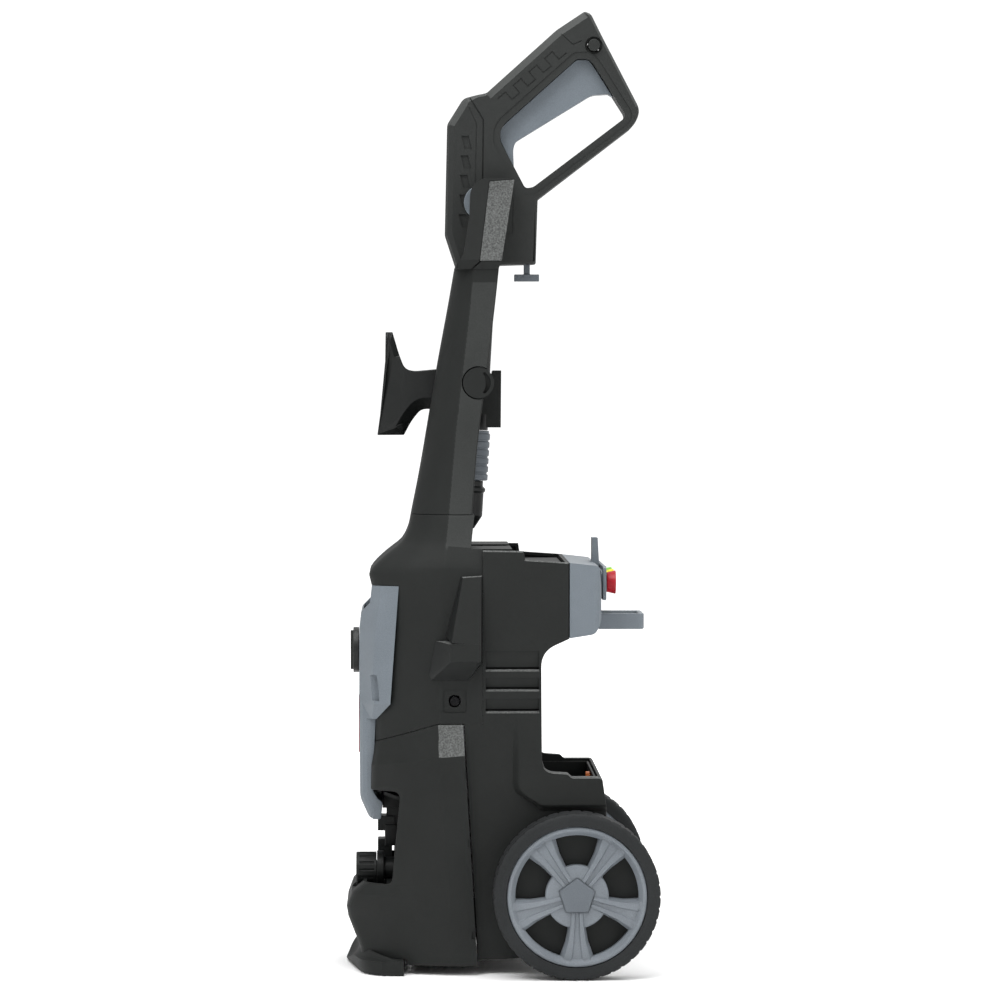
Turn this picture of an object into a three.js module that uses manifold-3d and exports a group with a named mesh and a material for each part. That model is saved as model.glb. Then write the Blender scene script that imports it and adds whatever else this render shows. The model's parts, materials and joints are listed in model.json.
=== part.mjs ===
// Upright electric pressure washer with its spray gun and nozzle lance stowed on the tower.
// Millimetres, +Z up, front of the machine towards -Y, standing on Z = 0.
import * as THREE from "three";
import { mergeVertices } from "three/addons/utils/BufferGeometryUtils.js";
import { ConvexGeometry } from "three/addons/geometries/ConvexGeometry.js";
import Module from "manifold-3d";

const wasm = await Module();
wasm.setup();

// ---- driving dimensions ----
const wheelRadius = 75;
const wheelWidth = 34;
const wheelX = 133; // middle of each wheel
const axleY = 67;
const axleZ = wheelRadius;
const axleRadius = 5;
const wall = 3; // moulded casing thickness
const gap = 0.4; // between pieces that meet
const upperHalf = 104; // half width of the rear housing
const binHalf = 113; // half width of the bin bulge
const footHalf = 116;
const seamZ = 415.3; // where the tower stands on the body
const shelfZ = 641.6; // top of the tower, where the gun rests
const gunHalf = 18; // half thickness of the spray gun
const lanceLean = 0.058; // the stowed lance leans back by this much per millimetre of height
const lanceFootY = -28.8;
const lanceFootZ = 388;

// ---- finishes ----
const finishes = {
  black: [0x333534, 0.55, 0],
  blackSatin: [0x262827, 0.45, 0],
  rubber: [0x2c2d2c, 0.85, 0],
  grip: [0x4a4b4a, 0.8, 0],
  grey: [0x7c858c, 0.45, 0],
  red: [0xd8262f, 0.4, 0],
  yellow: [0xf0d21c, 0.4, 0],
  green: [0x35a84a, 0.4, 0],
  white: [0xe8e8e4, 0.4, 0],
  orange: [0xe0781e, 0.4, 0],
  steel: [0xb5b8ba, 0.3, 1],
  brass: [0xb8924a, 0.35, 1],
  castAluminium: [0x9a9c9e, 0.5, 1],
  copper: [0x8a5a3a, 0.5, 1],
};

// ---- shape helpers ----
const axisTurns = {
  x: new THREE.Matrix4().makeBasis(
    new THREE.Vector3(0, 1, 0),
    new THREE.Vector3(0, 0, 1),
    new THREE.Vector3(1, 0, 0),
  ),
  y: new THREE.Matrix4().makeRotationX(Math.PI / 2),
  z: new THREE.Matrix4(),
};

// A closed three.js geometry as a manifold solid.
function solidOf(geometry) {
  const bare = geometry.index ? geometry.toNonIndexed() : geometry.clone();
  bare.deleteAttribute("normal");
  bare.deleteAttribute("uv");
  const merged = mergeVertices(bare, 1e-4);
  const corners = merged.index.array;
  const kept = [];
  for (let i = 0; i < corners.length; i += 3) {
    const [a, b, c] = corners.slice(i, i + 3);
    if (a !== b && b !== c && c !== a) kept.push(a, b, c);
  }
  return new wasm.Manifold(
    new wasm.Mesh({
      numProp: 3,
      vertProperties: merged.attributes.position.array,
      triVerts: new Uint32Array(kept),
    }),
  );
}

const join = (...solids) => solids.reduce((all, one) => all.add(one));

// A closed outline from [u, v, radius] corners, each rounded by its radius.
function outline(corners) {
  const shape = new THREE.Shape();
  corners.forEach(([u, v, radius = 0], i) => {
    const here = new THREE.Vector2(u, v);
    const towards = ([a, b]) =>
      new THREE.Vector2(a, b).sub(here).setLength(radius).add(here);
    const start = radius ? towards(corners.at(i - 1)) : here;
    if (i) shape.lineTo(start.x, start.y);
    else shape.moveTo(start.x, start.y);
    if (!radius) return;
    const end = towards(corners[(i + 1) % corners.length]);
    shape.quadraticCurveTo(u, v, end.x, end.y);
  });
  return shape;
}

// The outline moved inwards by a distance, its corner radii kept; corners run anticlockwise.
function inset(corners, distance) {
  return corners.map(([u, v, radius = 0], i) => {
    const [bu, bv] = corners.at(i - 1);
    const [au, av] = corners[(i + 1) % corners.length];
    const intoEdge = new THREE.Vector2(u - bu, v - bv).normalize();
    const outEdge = new THREE.Vector2(au - u, av - v).normalize();
    const cross = intoEdge.cross(outEdge);
    const corner = new THREE.Vector2(u, v);
    if (Math.abs(cross) < 0.02) {
      return [u - intoEdge.y * distance, v + intoEdge.x * distance, radius];
    }
    corner.add(outEdge.sub(intoEdge).multiplyScalar(distance / cross));
    return [corner.x, corner.y, Math.max(radius - distance / 2, 0)];
  });
}

// A shape carried along an axis. On x its plane is (Y, Z), on y it is (X, Z), on z it is (X, Y).
function sweep(axis, shape, from, to, curveSegments = 4) {
  const geometry = new THREE.ExtrudeGeometry(shape, {
    depth: to - from,
    bevelEnabled: false,
    curveSegments,
  });
  geometry.translate(0, 0, axis === "y" ? -to : from);
  return solidOf(geometry.applyMatrix4(axisTurns[axis]));
}

const slab = (axis, corners, from, to, curveSegments) =>
  sweep(axis, outline(corners), from, to, curveSegments);

function box(x0, x1, y0, y1, z0, z1) {
  const geometry = new THREE.BoxGeometry(x1 - x0, y1 - y0, z1 - z0);
  return solidOf(geometry.translate((x0 + x1) / 2, (y0 + y1) / 2, (z0 + z1) / 2));
}

// A rod or cone along an axis, centred on (u, v) in that axis's plane.
function rod(axis, u, v, radius, from, to, sides = 24, endRadius = radius) {
  const geometry = new THREE.CylinderGeometry(endRadius, radius, to - from, sides);
  geometry.rotateX(Math.PI / 2).translate(0, 0, (from + to) / 2);
  if (axis === "y") geometry.rotateX(-Math.PI / 2).translate(u, 0, v);
  else if (axis === "x") geometry.applyMatrix4(axisTurns.x).translate(0, u, v);
  else geometry.translate(u, v, 0);
  return solidOf(geometry);
}

// A turned piece about the local Z axis from [radius, height] points.
function turned(points, sides = 32) {
  const profile = points.map(([radius, height]) => new THREE.Vector2(radius, height));
  return solidOf(new THREE.LatheGeometry(profile, sides).rotateX(Math.PI / 2));
}

const hull = (points) =>
  solidOf(new ConvexGeometry(points.map(([x, y, z]) => new THREE.Vector3(x, y, z))));

// A row of convex sections joined one to the next.
function loft(sections) {
  const pieces = sections.slice(1).map((section, i) => hull([...sections[i], ...section]));
  return join(...pieces);
}

// One level of the casing: front edge, bowed front corner, flat side band and rear edge.
function casingSection({ z, front, frontHalf, band, half, rear }, inward = 0) {
  const cornerSteps = 4;
  const bow = 0.09;
  const a = new THREE.Vector2(frontHalf - inward * 0.5, front + inward);
  const b = new THREE.Vector2(half - inward, band + inward * 0.3);
  const across = b.clone().sub(a);
  const side = [];
  for (let i = 0; i <= cornerSteps; i++) {
    const t = i / cornerSteps;
    const swell = bow * 4 * t * (1 - t);
    side.push([
      a.x + across.x * t + across.y * swell,
      a.y + across.y * t - across.x * swell,
      z,
    ]);
  }
  side.push([half - inward, rear, z]);
  return [...side, ...side.map(([x, y, h]) => [-x, y, h])];
}

const casing = (levels, inward) =>
  loft(levels.map((level) => casingSection(level, inward)));

function part(name, solid, finish) {
  const mesh = solid.getMesh();
  const geometry = new THREE.BufferGeometry();
  geometry.setAttribute("position", new THREE.BufferAttribute(mesh.vertProperties, 3));
  geometry.setIndex(new THREE.BufferAttribute(mesh.triVerts, 1));
  geometry.computeVertexNormals();
  const [color, roughness, metalness] = finishes[finish];
  const material = new THREE.MeshStandardMaterial({ color, roughness, metalness });
  const made = new THREE.Mesh(geometry, material);
  made.name = name;
  return made;
}

const sides = { right: 1, left: -1 };

// Calls make("right", 1) and make("left", -1).
const bothSides = (make) => Object.entries(sides).map(([name, sign]) => make(name, sign));

// Runs an x range outwards on either side.
const outwards = (sign, near, far) => (sign > 0 ? [near, far] : [-far, -near]);

// ---- casing levels, from the skirt to the tower shelf ----
const skirtLevels = [
  { z: 8.5, front: -126, frontHalf: 76, band: -44, half: 113, rear: 10 },
  { z: 29, front: -127.5, frontHalf: 76, band: -45, half: 113, rear: 10 },
  { z: 54, front: -139.6, frontHalf: 66, band: -46.6, half: 113, rear: 10 },
  { z: 62, front: -140.4, frontHalf: 66, band: -47, half: 113, rear: 10 },
  { z: 73, front: -134, frontHalf: 70, band: -48, half: 112.6, rear: 10 },
  { z: 80, front: -124, frontHalf: 74, band: -48.5, half: 112.3, rear: 10 },
  { z: 150, front: -117.5, frontHalf: 76, band: -53, half: 112.2, rear: 10 },
  { z: 197, front: -116.5, frontHalf: 76, band: -55.5, half: 112, rear: 10 },
  { z: 226.4, front: -113, frontHalf: 72.6, band: -57, half: 104.6, rear: 10 },
];
const coverLevels = [
  { z: 226.8, front: -112.8, frontHalf: 72, band: -57, half: 104, rear: 10 },
  { z: 352, front: -113, frontHalf: 72, band: -52.5, half: 103, rear: 10 },
  { z: 361, front: -119, frontHalf: 70, band: -52, half: 102.5, rear: 10 },
  { z: 368, front: -115, frontHalf: 69, band: -51.5, half: 102, rear: 0 },
  { z: 379.5, front: -103.4, frontHalf: 66, band: -50.8, half: 98, rear: -27.6 },
  { z: 390, front: -90.5, frontHalf: 63, band: -50, half: 94, rear: -26.6 },
  { z: 401.5, front: -84.4, frontHalf: 60, band: -48.8, half: 91, rear: -25.4 },
  { z: seamZ, front: -81.3, frontHalf: 58, band: -47.5, half: 88, rear: -24 },
];
const towerLevels = [
  { z: seamZ + gap, front: -81.3, frontHalf: 58, band: -47.5, half: 88, rear: -24 },
  { z: 450, front: -74.5, frontHalf: 54, band: -44.5, half: 82.5, rear: -20.6 },
  { z: 490, front: -67.5, frontHalf: 51, band: -41, half: 77.5, rear: -16.5 },
  { z: 550, front: -57.5, frontHalf: 47, band: -34, half: 70.5, rear: -10.4 },
  { z: 611, front: -46.3, frontHalf: 43, band: -27, half: 65, rear: -4.2 },
  { z: shelfZ, front: -41, frontHalf: 41, band: -23.6, half: 62, rear: -0.9 },
];

const coverSeamY = -16.5; // seam between the front cover and the rear housing
const cheekZ = 384.4; // top of the housing's side cheeks

// Everything in front of the seam with the rear housing; a negative shift leaves the gap.
const seamFront = (shift) => [
  [-200, 0],
  [-19.2 + shift, 0],
  [-33.3 + shift, 227],
  [coverSeamY + shift, 227],
  [coverSeamY + shift, cheekZ],
  [20, cheekZ],
  [20, 500],
  [-200, 500],
];

const rearOutline = [
  [-40, 12.8],
  [25, 14, 20],
  [74, 34, 20],
  [95, 96, 20],
  [95.5, 150, 8],
  [91.5, 178.5, 3],
  [63.8, 178.5, 1],
  [60.2, 182, 1],
  [37, 183.5, 10],
  [36.3, 292, 12],
  [61.6, 303.6],
  [61.6, 372.6],
  [21.6, 375.3],
  [20.5, 383],
  [-40, 384],
];

const bulgeCorners = [
  [14, 154],
  [95.2, 151],
  [91.4, 178.3],
  [40, 183],
  [34, 214],
  [8, 236],
];

const louvres = [
  { z: 283.5, height: 12 },
  { z: 262.5, height: 8.5 },
  { z: 243.5, height: 8 },
];

const binTub = { half: 92, front: 40, back: 87.5, floor: 108, top: 176 };
const fittingZ = 87.7;
const inletX = 26;
const outletX = -30;

// The channel in the tower's back where the lance is stowed, grown outwards by a wall.
const lanceChannel = (growth) => {
  const front = (z) => lanceFootY + lanceLean * (z - lanceFootZ) - 17 - growth;
  const channel = [
    [front(380), 380],
    [60, 380],
    [60, 612 + growth],
    [front(612), 612 + growth],
  ];
  return slab("x", channel, -21 - growth, 21 + growth);
};

// ---- casings ----
function rearHousing() {
  const cheeks = (half, inward) =>
    slab("x", inset(rearOutline, inward), -half + inward, half - inward, 5);
  const bulge = (inward) => {
    const half = binHalf - inward;
    const fromFront = [
      [-half, 160],
      [-upperHalf + 8, 146],
      [upperHalf - 8, 146],
      [half, 160],
      [half, 222],
      [upperHalf - 8, 242],
      [-upperHalf + 8, 242],
      [-half, 222],
    ];
    return slab("x", inset(bulgeCorners, inward), -half, half)
      .intersect(slab("y", fromFront, -20, 120));
  };
  const rimCut = join(
    box(-200, 200, 62, 200, 178.5, 200),
    box(-200, 200, 36, 200, 182.8, 260),
  );
  const bulged = bulge(0).subtract(rimCut);
  const bin = box(
    -binTub.half - gap,
    binTub.half + gap,
    binTub.front - gap,
    binTub.back + gap,
    binTub.floor - gap,
    250,
  ).intersect(box(-200, 200, 36.6, 200, 0, 200));
  const binSeat = box(
    -binTub.half - wall,
    binTub.half + wall,
    binTub.front - wall,
    binTub.back + wall,
    binTub.floor - wall,
    178,
  );
  const outer = join(cheeks(upperHalf, 0), bulged);
  const inner = join(cheeks(upperHalf, wall), bulge(wall).subtract(rimCut));
  const slots = louvres.flatMap(({ z, height }) => {
    const slot = [
      [-11, z - height / 2],
      [33, z - height / 2 + 1],
      [33, z + height / 2],
      [-11, z + height / 2 + 1],
    ];
    const slit = box(-200, 200, -10, 32, z - height / 2 + 1.2, z - height / 2 + 3.2);
    return [slab("x", slot, -200, 4 - upperHalf), slab("x", slot, upperHalf - 4, 200), slit];
  });
  const louvreBacks = join(
    box(upperHalf - 7, upperHalf - 2, -14, 34, 236, 293),
    box(2 - upperHalf, 7 - upperHalf, -14, 34, 236, 293),
  );
  return outer
    .subtract(inner)
    .add(binSeat.intersect(outer))
    .add(louvreBacks)
    .subtract(bin)
    .subtract(join(...slots))
    .subtract(join(box(-98, 98, -60, 18, 370, 400), box(-98, 98, 17, 58, 365, 400)))
    .subtract(box(-98, 98, 55, 80, 311, 366))
    .subtract(rod("x", axleY, axleZ, axleRadius + 0.5, -200, 200, 20))
    .subtract(slab("x", seamFront(0), -300, 300));
}

const screwSpot = { y: -42, z: 247 };

function frontCover() {
  const cavity = coverLevels.map((level) => ({
    ...level,
    z: level.z === seamZ ? seamZ + 20 : level.z === 226.8 ? 200 : level.z,
    rear: Math.min(level.rear, -22) - wall,
  }));
  const frontOpen = coverLevels.map((level) => ({ ...level, rear: 30 })).slice(0, 4);
  const hollow = join(
    casing(cavity, wall),
    casing([{ ...frontOpen[0], z: 200 }, ...frontOpen.slice(1)], wall),
  );
  const screwHoles = bothSides((_, sign) => {
    const [a, b] = outwards(sign, 96, 120);
    return rod("x", screwSpot.y, screwSpot.z, 5.4, a, b, 20);
  });
  return casing(coverLevels, 0)
    .subtract(hollow.subtract(lanceChannel(wall)))
    .subtract(lanceChannel(0))
    .intersect(slab("x", seamFront(-gap), -300, 300))
    .subtract(join(...screwHoles))
    .subtract(rod("y", 0, 288, 8, -130, -100, 16));
}

function frontSkirt() {
  const hollow = [
    { ...skirtLevels[0], z: -5 },
    ...skirtLevels.slice(0, -1),
    { ...skirtLevels.at(-1), z: 230 },
  ];
  const mouth = [
    [-200, 80.5],
    [-124, 80.5],
    [-99, 80, 6],
    [-91, 165, 8],
    [-200, 165],
  ];
  const nutNotch = box(inletX - 19, inletX + 19, -150, -108, 69, 110);
  return casing(skirtLevels, 0)
    .subtract(casing(hollow, wall))
    .intersect(slab("x", seamFront(-gap), -300, 300))
    .subtract(slab("x", mouth, -300, 300))
    .subtract(nutNotch)
    .subtract(box(-200, 200, -200, -86, -10, 13.9));
}

function fittingBay() {
  const liner = [
    [-104, 76],
    [-96, 76],
    [-88, 157],
    [-106, 163],
    [-106, 160],
    [-91.2, 154.5],
    [-98.8, 79],
    [-104, 79],
  ];
  const ports = [inletX, outletX].map((x) => rod("y", x, fittingZ, 12, -120, -60, 20));
  return slab("x", liner, -74, 74).subtract(join(...ports));
}

function frontPanel() {
  const upper = (z, front) =>
    [-1, 1].flatMap((sign) => [
      [sign * 58, front, z],
      [sign * 82, front + 20, z],
      [sign * 90, -92.5, z],
    ]);
  const lower = (z, front) =>
    [-1, 1].flatMap((sign) => [
      [sign * 54, front, z],
      [sign * 66, -117, z],
      [sign * 66, -112, z],
    ]);
  const shape = join(
    loft([
      upper(246, -129),
      upper(312, -128.6),
      upper(326, -127),
      upper(334, -118.5),
      upper(351, -117),
    ]),
    loft([lower(132, -121), lower(150, -128.2), lower(247, -129)]),
  );
  const seat = [
    { ...skirtLevels.at(-3), z: 100 },
    ...skirtLevels.slice(-3),
    ...coverLevels.slice(0, 2),
    { ...coverLevels[1], z: 360 },
  ];
  const windows = bothSides((_, sign) => {
    const [a, b] = outwards(sign, 60, 72);
    return box(a, b, -135, -100, 250, 274);
  });
  return shape
    .subtract(box(-52, 52, -125, -100, 136, 340))
    .subtract(casing(seat, -gap))
    .subtract(join(...windows))
    .subtract(rod("y", 0, 288, 5, -140, -110, 20));
}

const switchKnob = () =>
  rod("y", 0, 288, 21, -134.8, -129.6, 36)
    .add(box(-3.2, 3.2, -137.4, -134, 270, 306))
    .add(rod("y", 0, 288, 4, -130, -125.4, 16));

const switchBox = () =>
  box(-18, 18, -124.6, -113.9, 264, 304).add(rod("y", 0, 288, 6, -115, -104, 16));

function baseFoot() {
  const profile = [
    [-122, 13.4],
    [-142, 13.4],
    [-141, 6],
    [-132, 0, 4],
    [-88, 0],
    [-88, 13.4],
  ];
  const plan = [
    [-footHalf, -80],
    [-footHalf, -142, 48],
    [footHalf, -142, 48],
    [footHalf, -80],
  ];
  return slab("x", profile, -footHalf, footHalf, 3).intersect(slab("z", plan, -5, 40, 6));
}

const basePlate = () => box(-100, 100, -82, -24.5, 9.5, 12.5);

function topDeck() {
  const trays = join(
    box(-97.5, 97.5, coverSeamY + 0.5, 17.6, 373, 376),
    box(-97.5, 97.5, 14.6, 57.5, 366.5, 369.5),
    box(-97.5, 97.5, 14.6, 17.6, 366.5, 376),
  );
  const ribs = [-66, 0, 66].map((x) => box(x - 14, x + 14, -14, 12, 375, 381.5));
  return join(trays, ...ribs);
}

const nozzleX = { red: 57, yellow: 19, green: -19, white: -57 };
const nozzleZ = 353;
const nozzleSockets = () =>
  join(...Object.values(nozzleX).map((x) => rod("y", x, nozzleZ, 7.4, 70, 100, 16)));

function rearPanel() {
  const profile = [
    [62, 304.2],
    [85, 307.8, 4],
    [90.8, 318, 5],
    [90.8, 352],
    [89, 369.5, 3],
    [62, 372.4],
  ];
  const plan = [
    [-upperHalf, 50],
    [upperHalf, 50],
    [upperHalf, 91, 9],
    [-upperHalf, 91, 9],
  ];
  const shell = slab("x", profile, -upperHalf, upperHalf)
    .intersect(slab("z", plan, 300, 400))
    .subtract(box(-upperHalf + wall, upperHalf - wall, 50, 87, 311, 367));
  const prong = [
    [86, 366],
    [92.6, 366],
    [91.2, 392],
    [86, 392],
  ];
  return shell.add(slab("x", prong, -14, 14)).subtract(nozzleSockets());
}

function nozzleRack() {
  const plate = [
    [-76, 337, 5],
    [76, 337, 5],
    [76, 368, 5],
    [-76, 368, 5],
  ];
  return slab("y", plate, 93.1, 96.4, 2)
    .add(slab("y", inset(plate, 4), 91.2, 94, 1))
    .subtract(box(-15, 15, 80, 93.1, 362, 400))
    .subtract(nozzleSockets());
}

function rearHoseHook() {
  const rim = [
    [-28, 91.2],
    [28, 91.2],
    [28, 133.4, 5],
    [-28, 133.4, 5],
  ];
  return slab("z", rim, 308.2, 322.8, 2).subtract(box(-23, 23, 95, 128.6, 300, 330));
}

// A quick-change tip along +Y: its stem sits in the rack, its flared sleeve is outside.
const nozzleTip = () =>
  turned(
    [
      [0, -12],
      [5.6, -12],
      [6.6, -8],
      [6.6, 0.4],
      [9, 0.4],
      [9.6, 3],
      [10.8, 8.8],
      [8, 8.8],
      [4, 4],
      [0, 4],
    ],
    16,
  ).rotate([-90, 0, 0]);

function accessoryBin() {
  const { half, front, back, floor, top } = binTub;
  const tub = (inward, low, high) =>
    box(-half + inward, half - inward, front + inward, back - inward, low, high);
  return tub(0, floor, top)
    .subtract(tub(2.5, floor + 2.5, top + 5))
    .subtract(rod("y", 0, 166, 6.4, 70, 100, 12));
}

const binPlug = () =>
  rod("y", 0, 166, 5.8, 83, 87, 12).add(rod("y", 0, 166, 8.5, 80.4, 84.4, 16));

// A moulded lifting lug: narrow at the top, swelling into a scoop at the bottom.
function sidePod(sign) {
  const place = (points) => hull(points.map(([x, y, z]) => [sign * x, y, z]));
  const root = 104.6;
  const scoop = place([
    [root, -59, 302],
    [root, -17.2, 302],
    [root, -17.2, 281.5],
    [root, -30, 266],
    [root, -63, 267],
    [root, -65, 271],
    [120, -47, 300],
    [120, -18.5, 300],
    [122, -18.5, 284.4],
    [122, -45.7, 284],
  ]);
  const stem = place([
    [root, -36, 360],
    [root, -17.2, 361],
    [106.5, -34.5, 359],
    [106.5, -18.5, 360],
    [root, -17.2, 299],
    [root, -50, 306],
    [120, -45, 301],
    [120, -18.5, 299],
  ]);
  return scoop.add(stem);
}

const sideScrew = (sign) => {
  const [a, b] = outwards(sign, 90, 99.5);
  return rod("x", screwSpot.y, screwSpot.z, 4.6, a, b, 12);
};

// ---- tower ----
const armInner = 24; // inner face of each arm
const armOutline = [
  [-41, shelfZ - 3],
  [-33, 653.5],
  [-27.5, 690],
  [-27, 722, 18],
  [12.8, 722],
  [1, 646],
  [-1.6, shelfZ - 3],
];
const gripOutline = [
  [-18.6, 646],
  [1.2, 646],
  [13.2, 720.6],
  [-9.6, 718.8],
];
const gripDepth = 4;

// The arm seen from the front: straight inside, swelling then tapering outside.
const armFace = (sign, inward) =>
  [
    [armInner, 600],
    [62 - inward, 600],
    [62.5 - inward, 638],
    [69 - inward, 647],
    [52 - inward, 730],
    [armInner, 730],
  ].map(([x, z]) => [sign * x, z]);

function towerArm(sign) {
  const [a, b] = outwards(sign, armInner, 80);
  const seat = slab("x", inset(gripOutline, -gap), a, b).subtract(
    slab("y", armFace(sign, gripDepth), -60, 30),
  );
  return slab("x", armOutline, a, b, 5)
    .intersect(slab("y", armFace(sign, 0), -60, 30))
    .subtract(seat);
}

function handleGrip(sign) {
  const [a, b] = outwards(sign, armInner, 80);
  return slab("x", gripOutline, a, b)
    .intersect(slab("y", armFace(sign, 0), -60, 30))
    .subtract(slab("y", armFace(sign, gripDepth - gap), -60, 30));
}

const lanceSocketY = -22; // the gun's socket drops into the tower here

const bossSpot = { y: -20, z: 535, radius: 14.2 }; // the bracket's round bosses in the tower's sides

function towerShell() {
  const cavity = [
    { ...towerLevels[0], z: seamZ - 20 },
    ...towerLevels.slice(1, -1),
    { ...towerLevels.at(-1), z: shelfZ - wall },
  ].map((level) => ({ ...level, rear: level.rear - wall }));
  return casing(towerLevels, 0)
    .subtract(casing(cavity, wall).subtract(lanceChannel(wall)))
    .subtract(lanceChannel(0))
    .add(join(...bothSides((_, sign) => towerArm(sign))))
    .subtract(rod("z", 0, lanceSocketY, 12, 600, 660, 20))
    .subtract(rod("x", bossSpot.y, bossSpot.z, bossSpot.radius + gap, -200, 200, 28));
}

const holsterPad = (sign) => {
  const [a, b] = outwards(sign, gunHalf + 0.5, armInner - 0.3);
  return rod("x", -16.6, 701, 16, a, b, 28);
};

function cordHook() {
  const profile = [
    [-58.6, 547.5],
    [-78, 546],
    [-87, 547],
    [-92.5, 562],
    [-98.4, 582],
    [-104.8, 582],
    [-105.4, 538],
    [-112.4, 487],
    [-87.8, 487],
    [-81, 500, 4],
    [-72, 511],
    [-64.9, 511],
  ];
  const width = [
    [-17, 480],
    [17, 480],
    [16, 550],
    [9, 590],
    [-9, 590],
    [-16, 550],
  ];
  return slab("x", profile, -20, 20).intersect(slab("y", width, -130, -50));
}

function lanceBracket() {
  const block = [
    [-12, 494],
    [1.4, 494],
    [1.8, 546.6],
    [-6, 546.6],
    [-12, 520],
  ];
  const flush = [
    [-75, 500],
    [75, 500],
    [69, 560],
    [-69, 560],
  ];
  const bosses = rod("x", bossSpot.y, bossSpot.z, bossSpot.radius, -100, 100, 28);
  return join(
    slab("x", block, -20.4, 20.4),
    box(-20.4, 20.4, -37.2, -11, 506, 526),
    bosses.intersect(slab("y", flush, -60, 30)),
  ).subtract(box(-13.4, 13.4, -35.4, 30, 480, 560));
}

// ---- running gear ----
const axle = () => rod("x", axleY, axleZ, axleRadius, -143, 143, 20);

const tyre = () => {
  const half = wheelWidth / 2;
  return turned(
    [
      [63.4, -half],
      [72.5, -half],
      [wheelRadius, 2.5 - half],
      [wheelRadius, half - 2.5],
      [72.5, half],
      [63.4, half],
      [63.4, -half],
    ],
    48,
  );
};

const spokes = 5;

// A wheel about its local Z axis, its outer face towards +Z.
function wheelDisc() {
  const face = wheelWidth / 2;
  const rim = turned(
    [
      [54.5, face - 12],
      [57, -face + 1],
      [63, -face + 1],
      [63, face - 1],
      [54.5, face - 3],
      [54.5, face - 12],
    ],
    40,
  );
  const arms = Array.from({ length: spokes }, (_, i) => {
    const spoke = [
      [-7, 20],
      [7, 20],
      [15, 57],
      [-15, 57],
    ];
    return slab("z", spoke, face - 10, face - 1.5).rotate([0, 0, 180 + (360 / spokes) * i]);
  });
  return join(rim, ...arms, rod("z", 0, 0, 28.5, face - 14, face - 1, 30), rod("z", 0, 0, 12, -face, face - 8, 20))
    .subtract(rod("z", 0, 0, axleRadius + 0.4, -30, 12, 20))
    .subtract(rod("z", 0, 0, 17.6, face - 4, 30, spokes));
}

const hubCap = () => rod("z", 0, 0, 17, wheelWidth / 2 - 3.6, wheelWidth / 2, spokes);

// ---- water fittings ----
const inletNut = () =>
  turned(
    [
      [0, -117],
      [13, -117],
      [13, -132],
      [14.9, -132],
      [15.5, -131],
      [15.5, -113.4],
      [8, -113.4],
      [8, -114.6],
      [0, -114.6],
    ].map(([radius, y]) => [radius, -y]).reverse(),
    20,
  ).rotate([90, 0, 0]);

const inletStub = () =>
  turned(
    [
      [0, 72],
      [10.5, 72],
      [10.5, 106.5],
      [16.5, 106.5],
      [16.5, 112.9],
      [7.4, 112.9],
      [7.4, 114.2],
      [0, 114.2],
    ],
    20,
  ).rotate([90, 0, 0]);

const outletFitting = () =>
  join(
    rod("y", outletX, fittingZ, 10.5, -100, -72, 20),
    box(outletX - 12, outletX + 12, -112.5, -99.2, 82.5, 110),
    box(outletX - 14, outletX + 14, -112.5, -96.5, 118, 131.5),
    box(outletX - 8, outletX + 8, -106, -99.2, 108, 120),
  );

// ---- pump and motor, upright inside the casing ----
const pumpY = -35;
const bores = 3;
const boreSpots = Array.from({ length: bores }, (_, i) => {
  const turn = (Math.PI * 2 * i) / bores;
  return [20 * Math.cos(turn), pumpY + 20 * Math.sin(turn)];
});

const motorCan = () =>
  rod("z", 0, pumpY, 48, 206, 340, 32)
    .subtract(rod("z", 0, pumpY, 44, 210, 337, 28))
    .subtract(rod("z", 0, pumpY, 6.6, 190, 350, 16));

const motorRotor = () =>
  rod("z", 0, pumpY, 30, 225, 322, 24).add(rod("z", 0, pumpY, 6, 190, 352, 16));

const motorFan = () => {
  const blades = Array.from({ length: 8 }, (_, i) =>
    box(10, 42, -1, 1, 343, 357).rotate([0, 0, (360 / 8) * i]),
  );
  return join(rod("z", 0, 0, 42, 343, 345, 28), rod("z", 0, 0, 12, 343, 357, 20), ...blades)
    .subtract(rod("z", 0, 0, 6.4, 330, 360, 16))
    .translate([0, pumpY, 0]);
};

const wobblePlate = () =>
  rod("z", 0, 0, 29, -3.5, 3.5, 28)
    .rotate([0, plateTilt, 0])
    .add(rod("z", 0, 0, 10, -3, 8, 20))
    .subtract(rod("z", 0, 0, 6.4, 2.5, 12, 16))
    .translate([0, pumpY, plateZ]);

function pumpBody() {
  const cavities = boreSpots.map(([x, y]) => rod("z", x, y, 7.4, 100, 180, 16));
  return rod("z", 0, pumpY, 42, 118.4, 205.6, 32)
    .subtract(rod("z", 0, pumpY, 34, 166, 220, 28))
    .subtract(join(...cavities));
}

const plateZ = 187.2;
const plateTilt = 7; // degrees

// Each piston stops just short of the plate's lowest sweep.
const piston = (x, y) => rod("z", x, y, 7, 124, plateZ - 7.6, 16);

const pumpHead = () =>
  box(-42, 42, -71, 4, 62, 118)
    .subtract(rod("y", inletX, fittingZ, 11, -90, -68, 20))
    .subtract(rod("y", outletX, fittingZ, 11, -90, -68, 20));

const capacitor = () => rod("z", -72, -30, 18, 230, 300, 24);

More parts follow.
